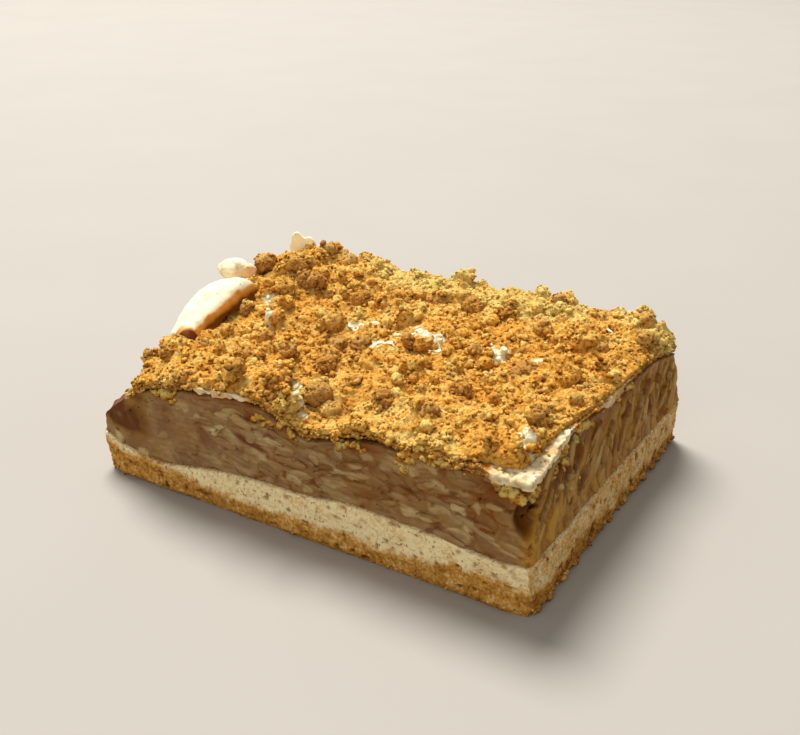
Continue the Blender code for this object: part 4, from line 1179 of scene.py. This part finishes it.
make_piece(
    "apple_slices", np.concatenate(slice_points), faces, apple_material,
    {key: np.concatenate(numbers) for key, numbers in slice_values.items()},
)

# %% [markdown]
# ## Base material
# The shortcrust is golden brown and full of pores near the tin, painted dark as shade in them, and
# pale and fine above, where the apples kept it moist. The line between the two wanders. A browning
# number at the points holds it, and a depth number paints shade into the pits that are carved into the cut.

# %% Base material
base_material, tree, shader = food_material("baked_shortcrust", 0.85, 0.10, 0.0012)
grain = use_group(tree, grain_group, Size=900.0, Roughening=0.72)
holes = use_group(tree, pores_group, Size=900.0, Share=0.07).outputs["Mask"]
patchy = stretch_range(tree, noise_on(tree, 800.0, 4.0), 0.3, 0.7, -0.22, 0.22)
strength = stretch_range(tree, value_at_points(tree, "browning"), 0.0, 0.5, 0.8, 1.0)
patchy = sum_of(tree, "MULTIPLY", patchy, strength)
toast = sum_of(tree, "ADD", value_at_points(tree, "browning"), patchy)
crust = use_group(
    tree, browning_group, Browning=toast, Pale=screen(246, 226, 174), Golden=screen(204, 150, 68),
    Toasted=screen(138, 84, 26),
).outputs["Color"]
# Painted shade: the carved pits and the pores mix in a dark brown.
pit = sum_of(tree, "MAXIMUM", value_at_points(tree, "depth"), sum_of(tree, "MULTIPLY", holes, 0.75))
crust = blend_colours(tree, pit, crust, screen(104, 54, 10))
tree.links.new(crust, shader.inputs["Base Color"])
tree.links.new(stretch_range(tree, grain.outputs["Shade"], 0.0, 1.0, 0.92, 0.74), shader.inputs["Roughness"])
height = sum_of(tree, "SUBTRACT", grain.outputs["Height"], sum_of(tree, "MULTIPLY", holes, 0.8))
bump(tree, shader, height, 0.8, 0.0010)

# %% [markdown]
# ## The base
# Only its four sides show, and its flat underside. The sides are cut fine and carved with pits of
# two sizes: shallow hollows where crumbs broke away, and narrow deep pores in the browned part.

# %% Base
BROWN_LINE_X = (-101, -60, -47.5, -15.5, 22, 40, 56, 78, 100)
BROWN_LINE_Z = (14, 10.5, 9.5, 6.7, 9.7, 7.3, 9.9, 12.7, 9.4)


def base_allowed(middle, up, flat):
    if not near_side(middle, 0.004) or flat > 0.93:
        return 1.0
    return 0.95 * MM if middle.y < -0.06 or middle.x > 0.09 else 1.6 * MM


shape = fine_copy("pastry_base", base_allowed)
soften(shape, 2, lambda vert: near_side(vert.co, 0.003) and vert.co.z > 0.0012)
points, outward, triangles = arrays_of(shape)
x, y, z = points.T
line = np.interp(x / MM, BROWN_LINE_X, BROWN_LINE_Z) * MM
line = np.where(outward[:, 0] > 0.6, 0.0072 + 0.002 * rolling(points, 0.02, 111), line)
line = line + 0.0012 * rolling(points, 0.005, 112) + 0.0009 * rolling(points, 0.0018, 119)
brown = ease(z - line, 0.0022, -0.0022)
brown = np.maximum(brown, ease(outward[:, 0], -0.3, -0.7))
brown = np.maximum(brown, 0.30 * ease(outward[:, 0], 0.4, 0.8))
wall = ease(np.abs(outward[:, 2]), 0.8, 0.4) * ease(z, 0.0, 0.0012)
grains, grain_number = domes(points, 1.7 * MM, 113)
pores = ease(rolling(points, (0.0034, 0.0034, 0.0026), 114), 0.42, 0.8) * (0.6 + 0.4 * brown)
pores = np.maximum(pores, ease(rolling(points, 0.0021, 120), 0.5, 0.75) * (0.7 + 0.3 * brown))
away_from_corner = ease(np.hypot(x - 0.1019, y + 0.0777), 0.008, 0.017)
pores = pores * (0.25 + 0.75 * away_from_corner)
chips = ease(rolling(points, (0.008, 0.008, 0.004), 121), 0.45, 0.8) * away_from_corner
bumps = 0.5 * grains * (0.4 + grain_number) + 0.3 * rolling(points, 0.006, 116) - 0.3
points = points + outward * ((bumps - 1.0 * pores - 0.35 * chips) * wall * MM)[:, None]
points[:, 0] -= 1.8 * MM * ease(x, -0.094, -0.100) * ease(z, 0.006, 0.016)
# Painted shade: the pores are browned more, and the depth number below darkens the pits and chips.
browning = 0.03 + 0.58 * brown + 0.12 * rolling(points, 0.004, 117) + (0.16 + 0.10 * brown) * (grain_number - 0.5) + 0.22 * pores
pores, dents = pores, chips
browning = browning + 0.13 * ease(outward[:, 0], 0.4, 0.8)
browning = np.where(outward[:, 2] < -0.5, 0.78 + 0.1 * rolling(points, 0.01, 118), browning)
make_piece(
    "base_body", points, triangles, base_material,
    {"browning": browning, "depth": np.clip(pores * 0.9 + dents * 0.25, 0, 0.9) * wall}, ("pastry_base",),
)

# %% [markdown]
# ## Crumbs on the cuts and at the foot
# The knife pulled some crumble down over the apples and tore soft bits of apple out of the right
# cut, and the base left ragged crumbs along its foot. Each patch below is a place on a cut, how far
# it spreads, and how many bits it has.

# %% Bits that hang on the cuts
HANGING = (
    ("front", 48, 48, 2.6, 2.0, 20, "crumb"), ("front", -12, 46, 6.0, 1.0, 22, "crumb"),
    ("front", 4, 44, 4.0, 1.3, 20, "crumb"), ("front", 24, 46.5, 7.0, 0.8, 24, "crumb"),
    ("front", 64, 50.5, 9.0, 0.8, 24, "crumb"), ("front", -86, 41.5, 8.0, 1.4, 40, "crumb"),
    ("front", -66, 44.5, 8.0, 0.9, 30, "crumb"), ("front", -86, 39.0, 2.6, 1.6, 14, "apple"), ("front", 84.5, 48.5, 1.2, 0.8, 6, "fray"),
    ("front", 87.5, 47.2, 1.0, 0.7, 5, "fray"), ("front", 90.2, 46.0, 1.0, 0.7, 5, "fray"),
    ("front", 92.4, 44.4, 0.9, 0.8, 5, "fray"), ("front", 93.8, 42.4, 0.9, 0.9, 5, "fray"),
    ("right", -30, 53, 6.0, 1.6, 14, "fray"), ("right", -46, 50, 4.0, 1.4, 8, "fray"),
    ("right", -50, 47, 9.0, 2.4, 26, "apple"), ("right", -42, 41, 6.0, 4.0, 14, "apple"),
    ("right", 66, 50, 6.0, 2.0, 18, "apple"), ("back", 20, 51, 60.0, 1.3, 90, "crumb"),
    ("right", 20, 51.5, 40.0, 1.0, 60, "crumb"),
    ("left", -48, 45, 30.0, 2.0, 70, "crumb"), ("left", 0, 48, 30.0, 2.0, 70, "crumb"),
    ("left", 48, 51, 30.0, 2.0, 70, "crumb"), ("left", 20, 45, 70.0, 3.5, 30, "crumb"),
)
FACES = {"front": (0, 1, (0, 1, 0), -0.12), "right": (1, 0, (-1, 0, 0), 0.14), "back": (0, 1, (0, -1, 0), 0.12), "left": (1, 0, (1, 0, 0), -0.14)}
base_tree = BVHTree.FromPolygons([tuple(p) for p in points], triangles.tolist())
rng = np.random.default_rng(23)
bits = {kind: ([], []) for kind in ("crumb", "apple", "fray", "foot")}
for face, along, height, reach_along, reach_up, count, kind in HANGING:
    run_axis, out_axis, inward, start_out = FACES[face]
    for _ in range(count):
        start = [0, 0, (height + rng.normal(0, reach_up)) * MM]
        start[run_axis] = (along + rng.normal(0, reach_along * 0.6)) * MM
        start[out_axis] = start_out
        found = apple_tree.ray_cast(Vector(start), Vector(inward), 0.09)[0]
        if found is not None and found.z > 0.020:
            bits[kind][0].append(tuple(found))
            bits[kind][1].append(rng.uniform(*((1.0, 1.9) if kind == "fray" else (0.5, 1.5))) * MM)
for _ in range(230):
    face = rng.choice(("front", "right", "right", "back"))
    run_axis, out_axis, inward, start_out = FACES[face]
    start = [0, 0, abs(rng.normal(0, 2.0)) * MM + 0.0006]
    start[run_axis] = rng.uniform(-74, 74) * MM * (1.0 if face == "right" else 1.33)
    start[out_axis] = start_out
    found = base_tree.ray_cast(Vector(start), Vector(inward), 0.09)[0]
    if found is not None:
        radius = (0.25 + rng.uniform() ** 2 * (1.25 if face == "right" else 0.5)) * MM
        bits["foot"][0].append((found.x, found.y, max(found.z, radius * 0.8)))
        bits["foot"][1].append(radius)
for kind, name, material, slot in (
    ("crumb", "hanging_crumbs", crumble_material, "golden_crumble"),
    ("apple", "torn_apple", apple_material, "baked_apple"),
    ("fray", "torn_edge", crumble_material, "golden_crumble"),
    ("foot", "foot_crumbs", base_material, "baked_shortcrust"),
):
    middles, radii = np.array(bits[kind][0]), np.array(bits[kind][1])
    kinds, faces = knobbly_balls(2, 16, 0.6, 0.46, 131, 0.28)
    points, triangles, owner = scatter(rng, kinds, faces, middles, radii, (0.5, 1.5))
    points[:, 2] = np.maximum(points[:, 2], 0.0001)
    tone = rng.normal(0, 0.15, len(middles))[owner]
    # Painted light and shade on each bit: its top is browned less and its underside darker; on torn apple the underside
    # shade is painted as juice.
    values = {"browning": 0.5 + tone - painted_top_light(points, owner, middles, radii), "depth": 0.6 * underside_shade(points, owner, middles, radii)}
    if kind == "apple":
        values = {"tone": 0.8 + tone, "yellow": 0.5 + tone, "juice": 0.3 * underside_shade(points, owner, middles, radii)}
    if kind == "fray":
        values["browning"] = 0.34 + 1.2 * tone - 0.8 * painted_top_light(points, owner, middles, radii)
    if kind == "foot":
        values["browning"] = 0.68 + tone
    make_piece(name, points, triangles, material, values)

# %% [markdown]
# ## Floor and light
# A plain pale floor catches a soft shadow. The photo's light is broad and comes from above and
# behind the left side: the top is bright, and both cut faces are in half shade. A weak broad lamp in
# front opens that shade a little, and the room adds warm light from everywhere.

# %% Floor
floor_mesh = bpy.data.meshes.new("floor")
floor_mesh.from_pydata([(-3, -3, 0), (3, -3, 0), (3, 3, 0), (-3, 3, 0)], [], [(0, 1, 2, 3)])
floor = bpy.data.objects.new("floor", floor_mesh)
bpy.context.scene.collection.objects.link(floor)
floor_material = bpy.data.materials.new("pale_floor")
floor_material.use_nodes = True
tree = floor_material.node_tree
shader = tree.nodes["Principled BSDF"]
pale = blend_colours(tree, noise_on(tree, 8.0), screen(158, 153, 145), screen(163, 158, 150))
tree.links.new(pale, shader.inputs["Base Color"])
shader.inputs["Roughness"].default_value = 0.75
floor_mesh.materials.append(floor_material)


# %% Lights
def soft_light(name, place, size, power, colour):
    """A broad lamp that looks at the slab."""
    data = bpy.data.lights.new(name, "AREA")
    data.shape = "DISK"
    data.size = size
    data.energy = power
    data.color = colour
    lamp = bpy.data.objects.new(name, data)
    lamp.location = place
    lamp.rotation_euler = (Vector((0, 0, 0.03)) - Vector(place)).to_track_quat("-Z", "Y").to_euler()
    bpy.context.scene.collection.objects.link(lamp)


soft_light("window_light", (-2.4, 1.9, 5.4), 2.9, 680.0, (1.0, 0.975, 0.94))
soft_light("front_fill", (0.5, -5.0, 3.0), 4.0, 84.0, (1.0, 0.96, 0.90))
world = bpy.data.worlds.new("soft_room")
world.use_nodes = True
background = world.node_tree.nodes["Background"]
background.inputs["Color"].default_value = (1.0, 0.975, 0.94, 1)
background.inputs["Strength"].default_value = 0.39
bpy.context.scene.world = world
bpy.context.scene.view_settings.view_transform = "Standard"
